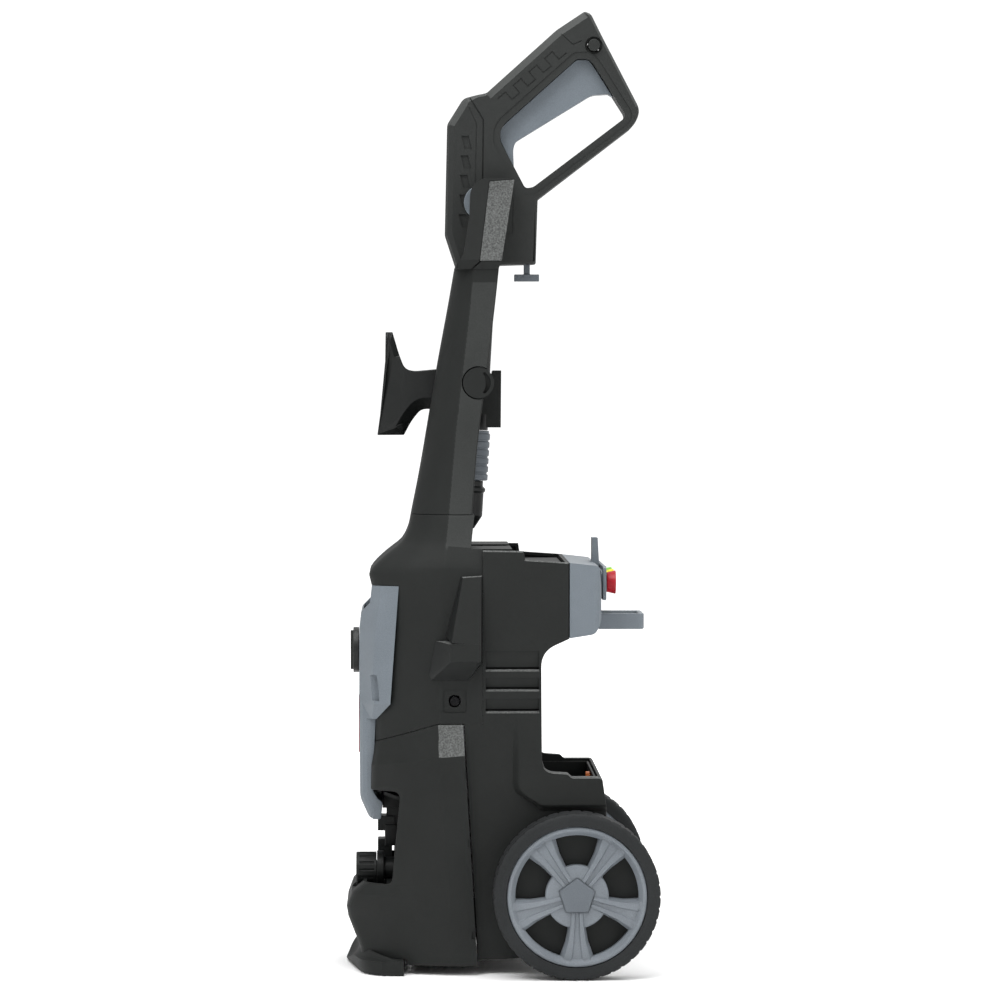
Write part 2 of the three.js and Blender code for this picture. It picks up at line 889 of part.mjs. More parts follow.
// ---- spray gun ----
const gunOutline = [
  [-40.4, shelfZ + gap],
  [33.7, 644.7],
  [35.5, 703.8],
  [124.5, 772, 5],
  [130.3, 786, 6],
  [94.2, 855.3],
  [84.4, 875.1, 3],
  [78.7, 877.2, 2],
  [52.8, 860],
  [-12, 801.7, 3],
  [-33, 797, 5],
  [-47.8, 773.3],
  [-50, 671.4],
];
const guardOpening = [
  [1.1, 757.5],
  [15.2, 731.1],
  [24, 714.4, 3],
  [31.1, 715.2, 3],
  [117.5, 780.5, 5],
  [86.5, 829.1, 2],
  [82.2, 833.4, 2],
  [71.6, 833.4, 2],
  [4.4, 773.4, 3],
  [1.1, 766.4, 2],
];
const triggerPivot = { y: -5.5, z: 766 };
const triggerTravel = 11; // degrees

function gunBody() {
  const triggerWay = [
    [-12, 758],
    [-4, 757],
    [13, 735],
    [106, 796],
    [104, 817],
    [73, 850],
    [54, 850],
    [4, 785],
    [-12, 775],
  ];
  const valveSpace = join(
    box(-9.6, 9.6, -33, 31, 656, 676),
    rod("z", 0, lanceSocketY, 11, 656, 744, 20),
    rod("z", 0, lanceSocketY, 10, 600, 700, 20),
    rod("z", 0, 25.9, 6.5, 620, 660, 16),
  );
  return slab("x", gunOutline, -gunHalf + 2, gunHalf - 2, 3)
    .add(slab("x", inset(gunOutline, 2), -gunHalf, gunHalf, 3))
    .subtract(slab("x", guardOpening, -40, 40, 3))
    .subtract(slab("x", triggerWay, -8, 8))
    .subtract(rod("x", triggerPivot.y, triggerPivot.z, 2.4, -12, 12, 12))
    .subtract(rod("x", 87.1, 845.7, 5.9, -40, 40, 20))
    .subtract(valveSpace);
}

function gunTrigger() {
  const profile = [
    [1.5, 758.5],
    [13.7, 734.5],
    [13.1, 750.5, 3],
    [15.2, 757.5, 3],
    [85.7, 800.8, 4],
    [100.7, 801.7],
    [104.8, 799.2],
    [86.1, 828.7, 2],
    [82, 833, 2],
    [71.6, 833, 2],
    [4.7, 773.2, 3],
    [1.5, 766.3],
  ];
  const ear = [
    [-9, 761],
    [8, 761],
    [8, 771],
    [-9, 771],
  ];
  return slab("x", profile, -7.4, 7.4, 3)
    .add(slab("x", ear, -7.4, 7.4))
    .add(rod("x", triggerPivot.y, triggerPivot.z, 2, -11.4, 11.4, 12));
}

const lockButton = () => rod("x", 87.1, 845.7, 5.5, -gunHalf - 1.2, gunHalf + 4.4, 20);

const hoseClip = () =>
  box(-1.6, 1.6, 23, 28.7, 635, 652).add(box(-4, 4, 14.2, 37.2, 628.9, 635.4));

const gunValve = () =>
  join(
    rod("z", 0, lanceSocketY, 9.4, 616, 740, 20),
    box(-8, 8, lanceSocketY, 30, 659, 673),
  );

// ---- lance, about its own axis with its tip at the bottom ----
const lanceBody = () =>
  turned(
    [
      [0, 104],
      [12.5, 104],
      [12.5, 150],
      [11.6, 152],
      [11.6, 214],
      [9, 217],
      [0, 217],
    ],
    24,
  );

const lanceCollar = () => {
  const ribs = Array.from({ length: 6 }, (_, i) => 58 + 7.5 * i).flatMap((z) => [
    [15, z],
    [15, z + 5],
    [13.8, z + 5.6],
    [13.8, z + 7],
  ]);
  return turned([[0, 57.4], [14, 57.4], ...ribs, [14, 103.6], [0, 103.6]], 24);
};

const lanceNozzle = () =>
  turned(
    [
      [0, 12.6],
      [5, 12.6],
      [12, 24.6],
      [12, 46],
      [13.4, 47.4],
      [13.4, 50],
      [11, 52],
      [11, 57],
      [0, 57],
    ],
    24,
  );

const lanceTip = () =>
  turned(
    [
      [0, 0],
      [3, 0],
      [3.8, 1.5],
      [3.8, 12.2],
      [0, 12.2],
    ],
    12,
  );

// ---- the machine ----
const machine = new THREE.Group();
machine.add(
  part("rear_housing", rearHousing(), "black"),
  part("front_cover", frontCover(), "black"),
  part("front_skirt", frontSkirt(), "black"),
  part("fitting_bay", fittingBay(), "blackSatin"),
  part("front_panel", frontPanel(), "grey"),
  part("switch_knob", switchKnob(), "blackSatin"),
  part("switch_box", switchBox(), "blackSatin"),
  part("base_foot", baseFoot(), "black"),
  part("base_plate", basePlate(), "blackSatin"),
  part("top_deck", topDeck(), "black"),
  part("rear_panel", rearPanel(), "grey"),
  part("nozzle_rack", nozzleRack(), "grey"),
  part("rear_hose_hook", rearHoseHook(), "grey"),
  part("accessory_bin", accessoryBin(), "black"),
  part("bin_plug", binPlug(), "orange"),
  part("tower_shell", towerShell(), "black"),
  part("cord_hook", cordHook(), "black"),
  part("lance_bracket", lanceBracket(), "black"),
  part("axle", axle(), "steel"),
  part("inlet_nut", inletNut().translate([inletX, 0, fittingZ]), "blackSatin"),
  part("inlet_stub", inletStub().translate([inletX, 0, fittingZ]), "blackSatin"),
  part("outlet_fitting", outletFitting(), "blackSatin"),
  part("motor_can", motorCan(), "steel"),
  part("motor_rotor", motorRotor(), "copper"),
  part("motor_fan", motorFan(), "blackSatin"),
  part("wobble_plate", wobblePlate(), "steel"),
  part("pump_body", pumpBody(), "castAluminium"),
  part("pump_head", pumpHead(), "castAluminium"),
  part("capacitor", capacitor(), "blackSatin"),
);
boreSpots.forEach(([x, y], i) => {
  machine.add(part(`piston_${i + 1}`, piston(x, y), "steel"));
});

for (const [name, sign] of Object.entries(sides)) {
  machine.add(
    part(`side_pod_${name}`, sidePod(sign), "black"),
    part(`side_screw_${name}`, sideScrew(sign), "steel"),
    part(`handle_grip_${name}`, handleGrip(sign), "grip"),
    part(`holster_pad_${name}`, holsterPad(sign), "grey"),
  );
  const wheel = new THREE.Group();
  wheel.add(
    part(`tyre_${name}`, tyre(), "rubber"),
    part(`wheel_${name}`, wheelDisc(), "grey"),
    part(`hub_cap_${name}`, hubCap(), "grey"),
  );
  wheel.position.set(sign * wheelX, axleY, axleZ);
  wheel.rotateY((sign * Math.PI) / 2).rotateZ((sign * Math.PI) / 2);
  machine.add(wheel);
}

for (const [color, x] of Object.entries(nozzleX)) {
  const tip = part(`nozzle_${color}`, nozzleTip(), color);
  tip.position.set(x, 96.8, nozzleZ);
  machine.add(tip);
}

const gun = new THREE.Group();
gun.add(
  part("gun_body", gunBody(), "black"),
  part("gun_trigger", gunTrigger(), "grey"),
  part("lock_button", lockButton(), "blackSatin"),
  part("hose_clip", hoseClip(), "grey"),
  part("gun_valve", gunValve(), "brass"),
);
machine.add(gun);

const lance = new THREE.Group();
lance.add(
  part("lance_body", lanceBody(), "blackSatin"),
  part("lance_collar", lanceCollar(), "grey"),
  part("lance_nozzle", lanceNozzle(), "blackSatin"),
  part("lance_tip", lanceTip(), "steel"),
);
lance.position.set(0, lanceFootY, lanceFootZ);
lance.rotation.x = -Math.atan(lanceLean);
machine.add(lance);

export default machine;
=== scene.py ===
import json
import math

import bmesh
import bpy
import numpy as np
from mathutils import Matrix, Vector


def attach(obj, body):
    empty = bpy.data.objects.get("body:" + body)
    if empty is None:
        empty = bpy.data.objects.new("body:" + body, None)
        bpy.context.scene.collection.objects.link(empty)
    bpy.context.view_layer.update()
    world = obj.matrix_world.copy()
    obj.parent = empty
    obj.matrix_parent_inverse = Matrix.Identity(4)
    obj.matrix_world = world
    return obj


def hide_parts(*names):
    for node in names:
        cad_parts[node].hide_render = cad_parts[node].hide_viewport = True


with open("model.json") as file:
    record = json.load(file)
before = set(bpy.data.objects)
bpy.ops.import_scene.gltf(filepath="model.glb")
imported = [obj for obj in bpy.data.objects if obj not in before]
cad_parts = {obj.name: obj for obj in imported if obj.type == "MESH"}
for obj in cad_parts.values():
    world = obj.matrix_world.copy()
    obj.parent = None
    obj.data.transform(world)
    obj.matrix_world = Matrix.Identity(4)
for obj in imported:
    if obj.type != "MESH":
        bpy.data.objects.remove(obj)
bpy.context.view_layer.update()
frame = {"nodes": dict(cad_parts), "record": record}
nodes = frame["nodes"]
mm = 0.001


def addObject(name, data):
    item = bpy.data.objects.new(name, data)
    bpy.context.collection.objects.link(item)
    return item


def lookAt(item, place, aim):
    item.location = place
    item.rotation_euler = (Vector(aim) - item.location).to_track_quat("-Z", "Y").to_euler()


# camera first, then everything it looks at
cameraSetup = {
    "place": (3.904, -0.08225, 0.5285),
    "aim": (0.0, 0.0011, 0.4266),
    "lens": 151.7,
    "sensor": 36.0,
}


def addCamera(setup):
    camera = addObject("camera", bpy.data.cameras.new("camera"))
    lookAt(camera, setup["place"], setup["aim"])
    camera.data.lens = setup["lens"]
    camera.data.sensor_width = setup["sensor"]
    camera.data.clip_end = 100
    bpy.context.scene.camera = camera


addCamera(cameraSetup)
print("camera placed")


# ---- materials ----
def linear(code):
    # sRGB hex text to linear red, green, blue and alpha
    channels = [int(code[i : i + 2], 16) / 255 for i in (1, 3, 5)]
    return [c / 12.92 if c <= 0.04045 else ((c + 0.055) / 1.055) ** 2.4 for c in channels] + [1.0]


def addNode(tree, kind, settings=None, links=None):
    # one node with its settings and links; a link is input name -> (node, output name)
    node = tree.nodes.new(kind)
    for key, value in (settings or {}).items():
        if key in node.inputs:
            node.inputs[key].default_value = value
        else:
            setattr(node, key, value)
    for key, (source, output) in (links or {}).items():
        tree.links.new(source.outputs[output], node.inputs[key])
    return node


def newMaterial(name):
    material = bpy.data.materials.new(name)
    material.use_nodes = True
    return material, material.node_tree, material.node_tree.nodes["Principled BSDF"]


def ramp(tree, source, output, low, high, lowPlace=0.35, highPlace=0.65):
    # colour running from low to high as the source goes between the two places
    node = addNode(tree, "ShaderNodeValToRGB", links={"Fac": (source, output)})
    node.color_ramp.elements[0].position = lowPlace
    node.color_ramp.elements[1].position = highPlace
    node.color_ramp.elements[0].color = low
    node.color_ramp.elements[1].color = high
    return node


plasticDefaults = {
    "grainMm": 1.1,
    "cloudMm": 70,
    "rough": 0.5,
    "speckle": 0.6,
    "bump": 0.3,
    "ior": 1.53,
    "specular": 0.25,
    "grainDark": "#d8d8d8",
    "grainLight": "#ffffff",
}


def mouldedPlastic(name, dark, light, **more):
    # ABS or nylon from a steel mould: an even tone with slight flow shading, and the grain of the
    # mould's surface as fine bumps that also break up the shine
    look = {**plasticDefaults, **more}
    material, tree, shader = newMaterial(name)
    place = addNode(tree, "ShaderNodeTexCoord")
    grain = addNode(
        tree,
        "ShaderNodeTexNoise",
        {"Scale": 1 / (look["grainMm"] * mm), "Detail": 3.0, "Roughness": 0.6},
        {"Vector": (place, "Object")},
    )
    cloud = addNode(
        tree,
        "ShaderNodeTexNoise",
        {"Scale": 1 / (look["cloudMm"] * mm), "Detail": 4.0, "Roughness": 0.55},
        {"Vector": (place, "Object")},
    )
    tone = ramp(tree, cloud, "Fac", linear(dark), linear(light), 0.3, 0.7)
    speck = ramp(tree, grain, "Fac", linear(look["grainDark"]), linear(look["grainLight"]))
    mixed = addNode(tree, "ShaderNodeMix", {"data_type": "RGBA", "blend_type": "MULTIPLY"})
    mixed.inputs["Factor"].default_value = look["speckle"]
    tree.links.new(tone.outputs["Color"], mixed.inputs["A"])
    tree.links.new(speck.outputs["Color"], mixed.inputs["B"])
    tree.links.new(mixed.outputs["Result"], shader.inputs["Base Color"])
    rough = addNode(
        tree,
        "ShaderNodeMapRange",
        {"To Min": look["rough"] - 0.06, "To Max": look["rough"] + 0.08},
        {"Value": (grain, "Fac")},
    )
    tree.links.new(rough.outputs["Result"], shader.inputs["Roughness"])
    bump = addNode(
        tree,
        "ShaderNodeBump",
        {"Strength": look["bump"], "Distance": look["grainMm"] * 0.12 * mm},
        {"Height": (grain, "Fac")},
    )
    tree.links.new(bump.outputs["Normal"], shader.inputs["Normal"])
    shader.inputs["IOR"].default_value = look["ior"]
    shader.inputs["Specular IOR Level"].default_value = look["specular"]
    return material


def turnedMetal(name, dark, light, ringMm, roughness):
    # bare machined metal: fine rings left by the tool, dull in the hollows
    material, tree, shader = newMaterial(name)
    place = addNode(tree, "ShaderNodeTexCoord")
    rings = addNode(
        tree,
        "ShaderNodeTexNoise",
        {"Scale": 1 / (ringMm * mm), "Detail": 2.0},
        {"Vector": (place, "Object")},
    )
    tone = ramp(tree, rings, "Fac", linear(dark), linear(light))
    tree.links.new(tone.outputs["Color"], shader.inputs["Base Color"])
    rough = addNode(
        tree,
        "ShaderNodeMapRange",
        {"To Min": roughness - 0.08, "To Max": roughness + 0.1},
        {"Value": (rings, "Fac")},
    )
    tree.links.new(rough.outputs["Result"], shader.inputs["Roughness"])
    shader.inputs["Metallic"].default_value = 1.0
    return material


coarse = {"bump": 0.9, "grainMm": 1.6, "speckle": 0.9}
blackAbs = mouldedPlastic(
    "spark-eroded black ABS", "#191b1a", "#1e201f", rough=0.6, bump=0.5, specular=0.2
)
gunNylon = mouldedPlastic(
    "fine-grained black nylon", "#242625", "#2a2c2b", rough=0.54, bump=0.35, grainMm=0.8
)
# black nylon painted lighter as highlight, for the gun's upward-leaning chamfers
chamferHighlightNylon = mouldedPlastic(
    "black nylon, painted chamfer highlight", "#3c3e3d", "#454746", rough=0.48, bump=0.35, grainMm=0.8
)
smoothNylon = mouldedPlastic(
    "smooth black nylon", "#151717", "#1a1c1b", rough=0.42, bump=0.15, grainMm=0.8
)
knobAbs = mouldedPlastic(
    "satin black ABS", "#222423", "#292b2a", rough=0.38, bump=0.12, grainMm=0.7
)
gripRubber = mouldedPlastic(
    "coarse-grained grip rubber", "#5a5c5b", "#6a6c6b", rough=0.72, grainDark="#8c8c8c", **coarse
)
# black ABS painted lighter as highlight, for faces that face up towards the lamps; its coarse grain bumps
# are real
grainedHighlightAbs = mouldedPlastic(
    "coarse-grained black ABS, painted highlight", "#606261", "#6c6e6d", rough=0.7, grainDark="#949494", **coarse
)
# black ABS for the side bands: the fine grain is real, the lighter tone is painted highlight
bandHighlightAbs = mouldedPlastic(
    "fine-grained black ABS, painted highlight", "#282a29", "#303231", rough=0.62, bump=0.6, grainMm=1.3
)
greyAbs = mouldedPlastic(
    "satin grey ABS", "#666e75", "#6e767d", rough=0.42, bump=0.15, grainMm=0.8, specular=0.35
)
darkGreyAbs = mouldedPlastic(
    "satin dark grey ABS", "#5c6268", "#666c72", rough=0.45, bump=0.15, grainMm=0.8
)
wheelNylon = mouldedPlastic(
    "grey glass-filled nylon", "#6e747a", "#7a8086", rough=0.4, bump=0.2, grainMm=0.9
)
tyreRubber = mouldedPlastic(
    "matt black tyre rubber", "#202223", "#262829", rough=0.72, bump=0.5, grainMm=1.4, grainDark="#bcbcbc"
)
orangeAbs = mouldedPlastic("orange polyethylene", "#c9661c", "#d87224", bump=0.1)
redAbs = mouldedPlastic("red acetal", "#a31c27", "#b0242f", rough=0.35, bump=0.08)
yellowAbs = mouldedPlastic("yellow acetal", "#e2cf2a", "#eede38", rough=0.35, bump=0.08)
greenAbs = mouldedPlastic("lime green acetal", "#7cc43c", "#8cd048", rough=0.35, bump=0.08)
whiteAbs = mouldedPlastic("white acetal", "#dcdcd8", "#e8e8e4", rough=0.35, bump=0.08)
turnedSteel = turnedMetal("turned steel", "#a3a6a8", "#c4c7c9", 1.5, 0.3)
blackedSteel = turnedMetal("blackened steel", "#1a1a1b", "#2c2c2d", 1.5, 0.5)
castAluminium = turnedMetal("die-cast aluminium", "#8e9092", "#a5a7a9", 2.5, 0.5)
copperWinding = turnedMetal("copper winding", "#7c4a2c", "#a06a42", 1.2, 0.4)
machinedBrass = turnedMetal("machined brass", "#a08040", "#bf9c55", 1.5, 0.3)
print("materials made")


# ---- mesh helpers ----
def bodyOf(nodeName):
    groups = frame["record"]["behaviour"]["bodies"]
    return next(body for body, members in groups.items() if nodeName in members)


def link(name, mesh, material, body):
    piece = addObject(name, mesh)
    mesh.materials.clear()
    mesh.materials.append(material)
    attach(piece, body)
    return piece


def roundEdges(piece, width, segments=2, angle=28):
    # the mould's edge radius on every edge sharper than the angle
    piece.data.shade_smooth()
    bevel = piece.modifiers.new("edge radius", "BEVEL")
    bevel.width = width * mm
    bevel.segments = segments
    bevel.limit_method = "ANGLE"
    bevel.angle_limit = math.radians(angle)
    bevel.use_clamp_overlap = True
    bevel.miter_outer = "MITER_ARC"
    normals = piece.modifiers.new("flat faces stay flat", "WEIGHTED_NORMAL")
    normals.weight = 60


def reworked(mesh, change):
    work = bmesh.new()
    work.from_mesh(mesh)
    change(work)
    work.to_mesh(mesh)
    work.free()
    return mesh


def cleanMesh(name, source):
    # a merged copy of a mesh with its flat faces joined up
    mesh = source.copy()
    mesh.name = name

    def joined(work):
        bmesh.ops.remove_doubles(work, verts=work.verts, dist=0.02 * mm)
        bmesh.ops.dissolve_limit(work, angle_limit=math.radians(0.6), verts=work.verts, edges=work.edges)

    return reworked(mesh, joined)


def roundedCopy(nodeName, material, edge=0.9, segments=2, angle=28):
    # the node's own shape with moulded edges
    mesh = cleanMesh(f"{nodeName}_moulded", nodes[nodeName].data)
    piece = link(mesh.name, mesh, material, bodyOf(nodeName))
    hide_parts(nodeName)
    if edge:
        roundEdges(piece, edge, segments, angle)
    return piece


def curve(corners, steps=8):
    # an outline's points from (u, v, reach) corners: each corner is a parabola that starts and
    # ends at that reach along its two edges
    points = []
    count = len(corners)
    for i, corner in enumerate(corners):
        here = np.array(corner[:2], float)
        reach = corner[2] if len(corner) > 2 else 0
        if not reach:
            points.append(here)
            continue
        ends = []
        for other in (corners[i - 1], corners[(i + 1) % count]):
            way = np.array(other[:2], float) - here
            ends.append(here + way / np.linalg.norm(way) * reach)
        t = np.linspace(0, 1, steps + 1)[:, None]
        points.extend((1 - t) ** 2 * ends[0] + 2 * t * (1 - t) * here + t**2 * ends[1])
    return np.array(points)


def inward(points, distance):
    # a closed outline moved inwards: every point goes along the mean of its two edges' normals
    before = points - np.roll(points, 1, axis=0)
    after = np.roll(points, -1, axis=0) - points
    before /= np.linalg.norm(before, axis=1)[:, None] + 1e-12
    after /= np.linalg.norm(after, axis=1)[:, None] + 1e-12
    normal = np.stack([-(before + after)[:, 1], (before + after)[:, 0]], axis=1)
    normal /= np.linalg.norm(normal, axis=1)[:, None] + 1e-12
    lean = np.abs(np.sum(normal * np.stack([-before[:, 1], before[:, 0]], axis=1), axis=1))
    x, y = points[:, 0], points[:, 1]
    winding = np.sign(np.sum(x * np.roll(y, -1) - y * np.roll(x, -1)))
    return points + normal * winding * (distance / np.maximum(lean, 0.35))[:, None]


def smaller(corners, distance):
    # a corner list moved inwards, its corners still sharp or rounded as before
    flat = inward(np.array([corner[:2] for corner in corners], float), distance)
    reaches = [corner[2] if len(corner) > 2 else 0 for corner in corners]
    return [(*place, max(reach - abs(distance) / 2, 0)) for place, reach in zip(flat.tolist(), reaches)]


def ringFaces(rings, size, closedEnds=True):
    # quads between one ring of points and the next, with the first and last ring filled in
    ring, step = np.meshgrid(np.arange(rings - 1), np.arange(size), indexing="ij")
    ahead = (step + 1) % size
    quads = np.stack(
        [ring * size + step, ring * size + ahead, (ring + 1) * size + ahead, (ring + 1) * size + step], -1
    )
    faces = quads.reshape(-1, 4).tolist()
    if closedEnds:
        faces.append(list(range(size))[::-1])
        faces.append(list(range((rings - 1) * size, rings * size)))
    return faces


def meshOf(name, points, faces):
    # millimetre points and their faces as a mesh with its faces pointing outwards
    mesh = bpy.data.meshes.new(name)
    mesh.from_pydata((np.asarray(points, float) * mm).tolist(), [], faces)

    def closed(work):
        bmesh.ops.remove_doubles(work, verts=work.verts, dist=0.005 * mm)
        bmesh.ops.recalc_face_normals(work, faces=work.faces)
        bmesh.ops.triangulate(work, faces=[face for face in work.faces if len(face.verts) > 4])

    return reworked(mesh, closed)


def cutInThree(mesh):
    # every face as triangles, so that none is bent
    return reworked(mesh, lambda work: bmesh.ops.triangulate(work, faces=work.faces))


def prism(name, axis, outline, start, end, edge=0.0, steps=3):
    # an outline carried along an axis; a quarter round runs round both ends, its radius one
    # number or one for each point, and a single step makes it a chamfer.
    # On x the outline is (Y, Z), on y it is (X, Z), on z it is (X, Y)
    outline = np.asarray(outline, float)
    edge = np.broadcast_to(np.asarray(edge, float), len(outline))
    turns = np.linspace(0, math.pi / 2, steps + 1) if edge.any() else np.array([math.pi / 2])
    rings = [(edge * (1 - math.sin(t)), start + edge * (1 - math.cos(t))) for t in turns]
    rings += [(edge * (1 - math.sin(t)), end - edge * (1 - math.cos(t))) for t in turns[::-1]]
    points = []
    for inset, depth in rings:
        flat = inward(outline, inset)
        points.append(np.column_stack([flat, depth]))
    points = np.concatenate(points)
    u, v, d = points[:, 0], points[:, 1], points[:, 2]
    places = {"x": (d, u, v), "y": (u, d, v), "z": (u, v, d)}[axis]
    return meshOf(name, np.column_stack(places), ringFaces(len(rings), len(outline)))


def block(name, x0, x1, y0, y1, z0, z1, edge=0.0):
    return prism(name, "x", [(y0, z0), (y1, z0), (y1, z1), (y0, z1)], x0, x1, edge)


def turned(name, profile, axis, centre, sides=64):
    # (radius, place) points turned about an axis through the centre; the first and last lie on
    # it, or are the same point
    profile = np.asarray(profile, float)
    angle = np.linspace(0, 2 * math.pi, sides, endpoint=False)
    radius, place = profile[:, :1], profile[:, 1:2]
    u = radius * np.cos(angle)
    v = radius * np.sin(angle)
    d = np.broadcast_to(place, u.shape)
    places = {"x": (d, u, v), "y": (u, d, v), "z": (u, v, d)}[axis]
    points = np.stack([p.ravel() for p in places], 1) + np.array(centre, float)
    onAxis = profile[0, 0] == 0
    return meshOf(name, points, ringFaces(len(profile), sides, onAxis))


def rod(name, radius, start, end, axis, centre, sides=64):
    return turned(name, [(0, start), (radius, start), (radius, end), (0, end)], axis, centre, sides)


def cutWith(mesh, cutters, operation="DIFFERENCE"):
    # the mesh after each cutter mesh is taken from it, joined to it or kept in common with it
    holder = addObject("work", mesh)
    tools = []
    for cutter in cutters:
        tool = addObject("tool", cutter)
        tools.append(tool)
        step = holder.modifiers.new("cut", "BOOLEAN")
        step.operation = operation
        step.solver = "EXACT"
        step.object = tool
    graph = bpy.context.evaluated_depsgraph_get()
    result = bpy.data.meshes.new_from_object(holder.evaluated_get(graph))
    result.name = mesh.name
    for tool in [holder, *tools]:
        bpy.data.objects.remove(tool)
    return result


def shade(mesh, angle=32):
    mesh.shade_smooth()
    mesh.set_sharp_from_angle(angle=math.radians(angle))
    return mesh


def standFor(mesh, material, nodeName, angle=32):
    # a finished mesh in place of a node
    mesh.name = f"{nodeName}_shaped"
    piece = link(mesh.name, shade(mesh, angle), material, bodyOf(nodeName))
    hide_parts(nodeName)
    return piece


def between(levels, places, key):
    # one measure of the casing at every height, on a smooth curve through its levels
    heights = np.array([level["z"] for level in levels], float)
    values = np.array([level[key] for level in levels], float)
    slopes = np.diff(values) / np.diff(heights)
    tangents = np.concatenate([slopes[:1], (slopes[1:] + slopes[:-1]) / 2, slopes[-1:]])
    same = np.sign(slopes[1:]) * np.sign(slopes[:-1]) > 0
    tangents[1:-1] *= same  # no overshoot where the slope changes sign
    i = np.clip(np.searchsorted(heights, places, side="right") - 1, 0, len(slopes) - 1)
    width = heights[i + 1] - heights[i]
    t = (places - heights[i]) / width
    return (
        (2 * t**3 - 3 * t**2 + 1) * values[i]
        + (t**3 - 2 * t**2 + t) * width * tangents[i]
        + (3 * t**2 - 2 * t**3) * values[i + 1]
        + (t**3 - t**2) * width * tangents[i + 1]
    )


levelMeasures = ("front", "frontHalf", "band", "half", "rear")


def levelsOf(rows):
    return [dict(zip(("z", *levelMeasures), row)) for row in rows]


def casing(name, levels, inset=0.0, edge=1.2, spacing=4.0, bottom=None, top=None, crisp=False):
    # a casing lofted through its levels: flat front, bowed front corners, flat side bands, rear edge
    low = levels[0]["z"] if bottom is None else bottom
    high = levels[-1]["z"] if top is None else top
    heights = np.linspace(low, high, max(int((high - low) / spacing), 4) + 1)
    known = [level["z"] for level in levels]
    heights = np.unique(np.concatenate([heights, [z for z in known if low < z < high]]))
    rims = [(edge * (1 - math.sin(t)), edge * (1 - math.cos(t))) for t in np.linspace(0, math.pi / 2, 4)]
    rows = [(low + rise, shrink) for shrink, rise in rims]
    rows += [(z, 0) for z in heights if low + edge < z < high - edge]
    rows += [(high - rise, shrink) for shrink, rise in rims[::-1]]
    z = np.array([row[0] for row in rows])
    at = np.clip(z, levels[0]["z"], levels[-1]["z"])
    measures = {
        key: np.interp(at, known, [level[key] for level in levels]) if crisp else between(levels, at, key)
        for key in levelMeasures
    }
    points = []
    for i, (height, shrink) in enumerate(rows):
        front, frontHalf, band, half, rear = (measures[key][i] for key in measures)
        across = np.array([half - frontHalf, band - front])
        middle = np.array([(half + frontHalf) / 2, (band + front) / 2])
        bowed = middle + np.array([across[1], -across[0]]) * 0.1
        ease = 0.45 * math.hypot(*across) / 2
        side = [(frontHalf, front, min(9, ease)), (*bowed, ease), (half, band, 2.5), (half, rear, 2)]
        corners = side + [(-c[0], c[1], c[2]) for c in side[::-1]]
        ring = inward(curve(smaller(corners, inset) if inset else corners, 6), shrink)
        points.append(np.column_stack([ring, np.full(len(ring), height)]))
    size = len(points[0])
    return cutInThree(meshOf(name, np.concatenate(points), ringFaces(len(points), size)))


def takeFaces(piece, material, chosen, keep=False):
    # another finish on the faces whose centre and normal pass the test
    mesh = piece.data
    mesh.materials.append(material)
    count = len(mesh.polygons)
    centres, normals = np.empty(count * 3), np.empty(count * 3)
    mesh.polygons.foreach_get("center", centres)
    mesh.polygons.foreach_get("normal", normals)
    picked = chosen(centres.reshape(-1, 3) / mm, normals.reshape(-1, 3))
    slots = np.zeros(count, np.int32)
    if keep:
        mesh.polygons.foreach_get("material_index", slots)
    mesh.polygons.foreach_set("material_index", np.where(picked, len(mesh.materials) - 1, slots))


# ---- rear housing ----
housing = {
    "half": 104,
    "wall": 3,
    "edge": 1.8,
    "outline": [
        (-40, 12.8),
        (25, 14, 20),
        (74, 34, 20),
        (95, 96, 20),
        (95.5, 150, 8),
        (91.5, 178.5, 4),
        (63.8, 178.5, 1.5),
        (60.2, 182, 1.5),
        (37, 183.5, 11),
        (36.3, 292, 14),
        (61.6, 303.6),
        (61.6, 372.6),
        (21.6, 375.3),
        (20.5, 383),
        (-40, 384),
    ],
    "bulgeFront": 9,  # where the bin's bulge starts to rise from the flat side
    "bulgeFoot": 150,
    "bulgeRise": 9,
    "louvres": [(292.8, 275.8), (268.6, 257.8), (249.7, 238)],
    "louvreSpan": (-14, 34.4),
    "axle": (67, 75, 5.5),  # place and radius of the axle's hole
    "openHalf": 98,
    "deck": [(-60, 18, 370), (17, 58, 365)],  # front, back and floor of the deck's two steps
    "rearOpening": (55, 80, 311, 366),
    "bin": (92.4, 39.6, 87.9, 107.6),  # half width, front, back and floor of the bin's opening
}
seam = {"skirtRear": [(-19.2, 0), (-33.3, 227)], "coverRear": -16.5, "cheek": 384.4}


def smoothStep(t):
    t = np.clip(t, 0, 1)
    return t * t * (3 - 2 * t)


def bulgeSide(sign):
    # the bin's bulge: out from the flat side by a smooth ridge along its front and its foot, and
    # fading out above the bin's rim
    u, v = np.meshgrid(np.linspace(-6, 97, 70), np.linspace(138, 246, 74), indexing="ij")
    corner = 22 * smoothStep((176 - v) / 26) ** 2
    across = smoothStep((u - housing["bulgeFront"] - corner) / 8)
    up = smoothStep((v - housing["bulgeFoot"] + 3) / 7)
    away = 1 - smoothStep((v - 184) / 70)
    lean = 1 - 0.35 * np.clip((v - 155) / 28, 0, 1)
    out = housing["half"] - 0.6 + (housing["bulgeRise"] + 0.4) * across * up * away * lean
    skin = np.column_stack([sign * out.ravel(), u.ravel(), v.ravel()])
    back = np.column_stack([np.full(out.size, sign * (housing["half"] - 3)), u.ravel(), v.ravel()])
    return skin, back


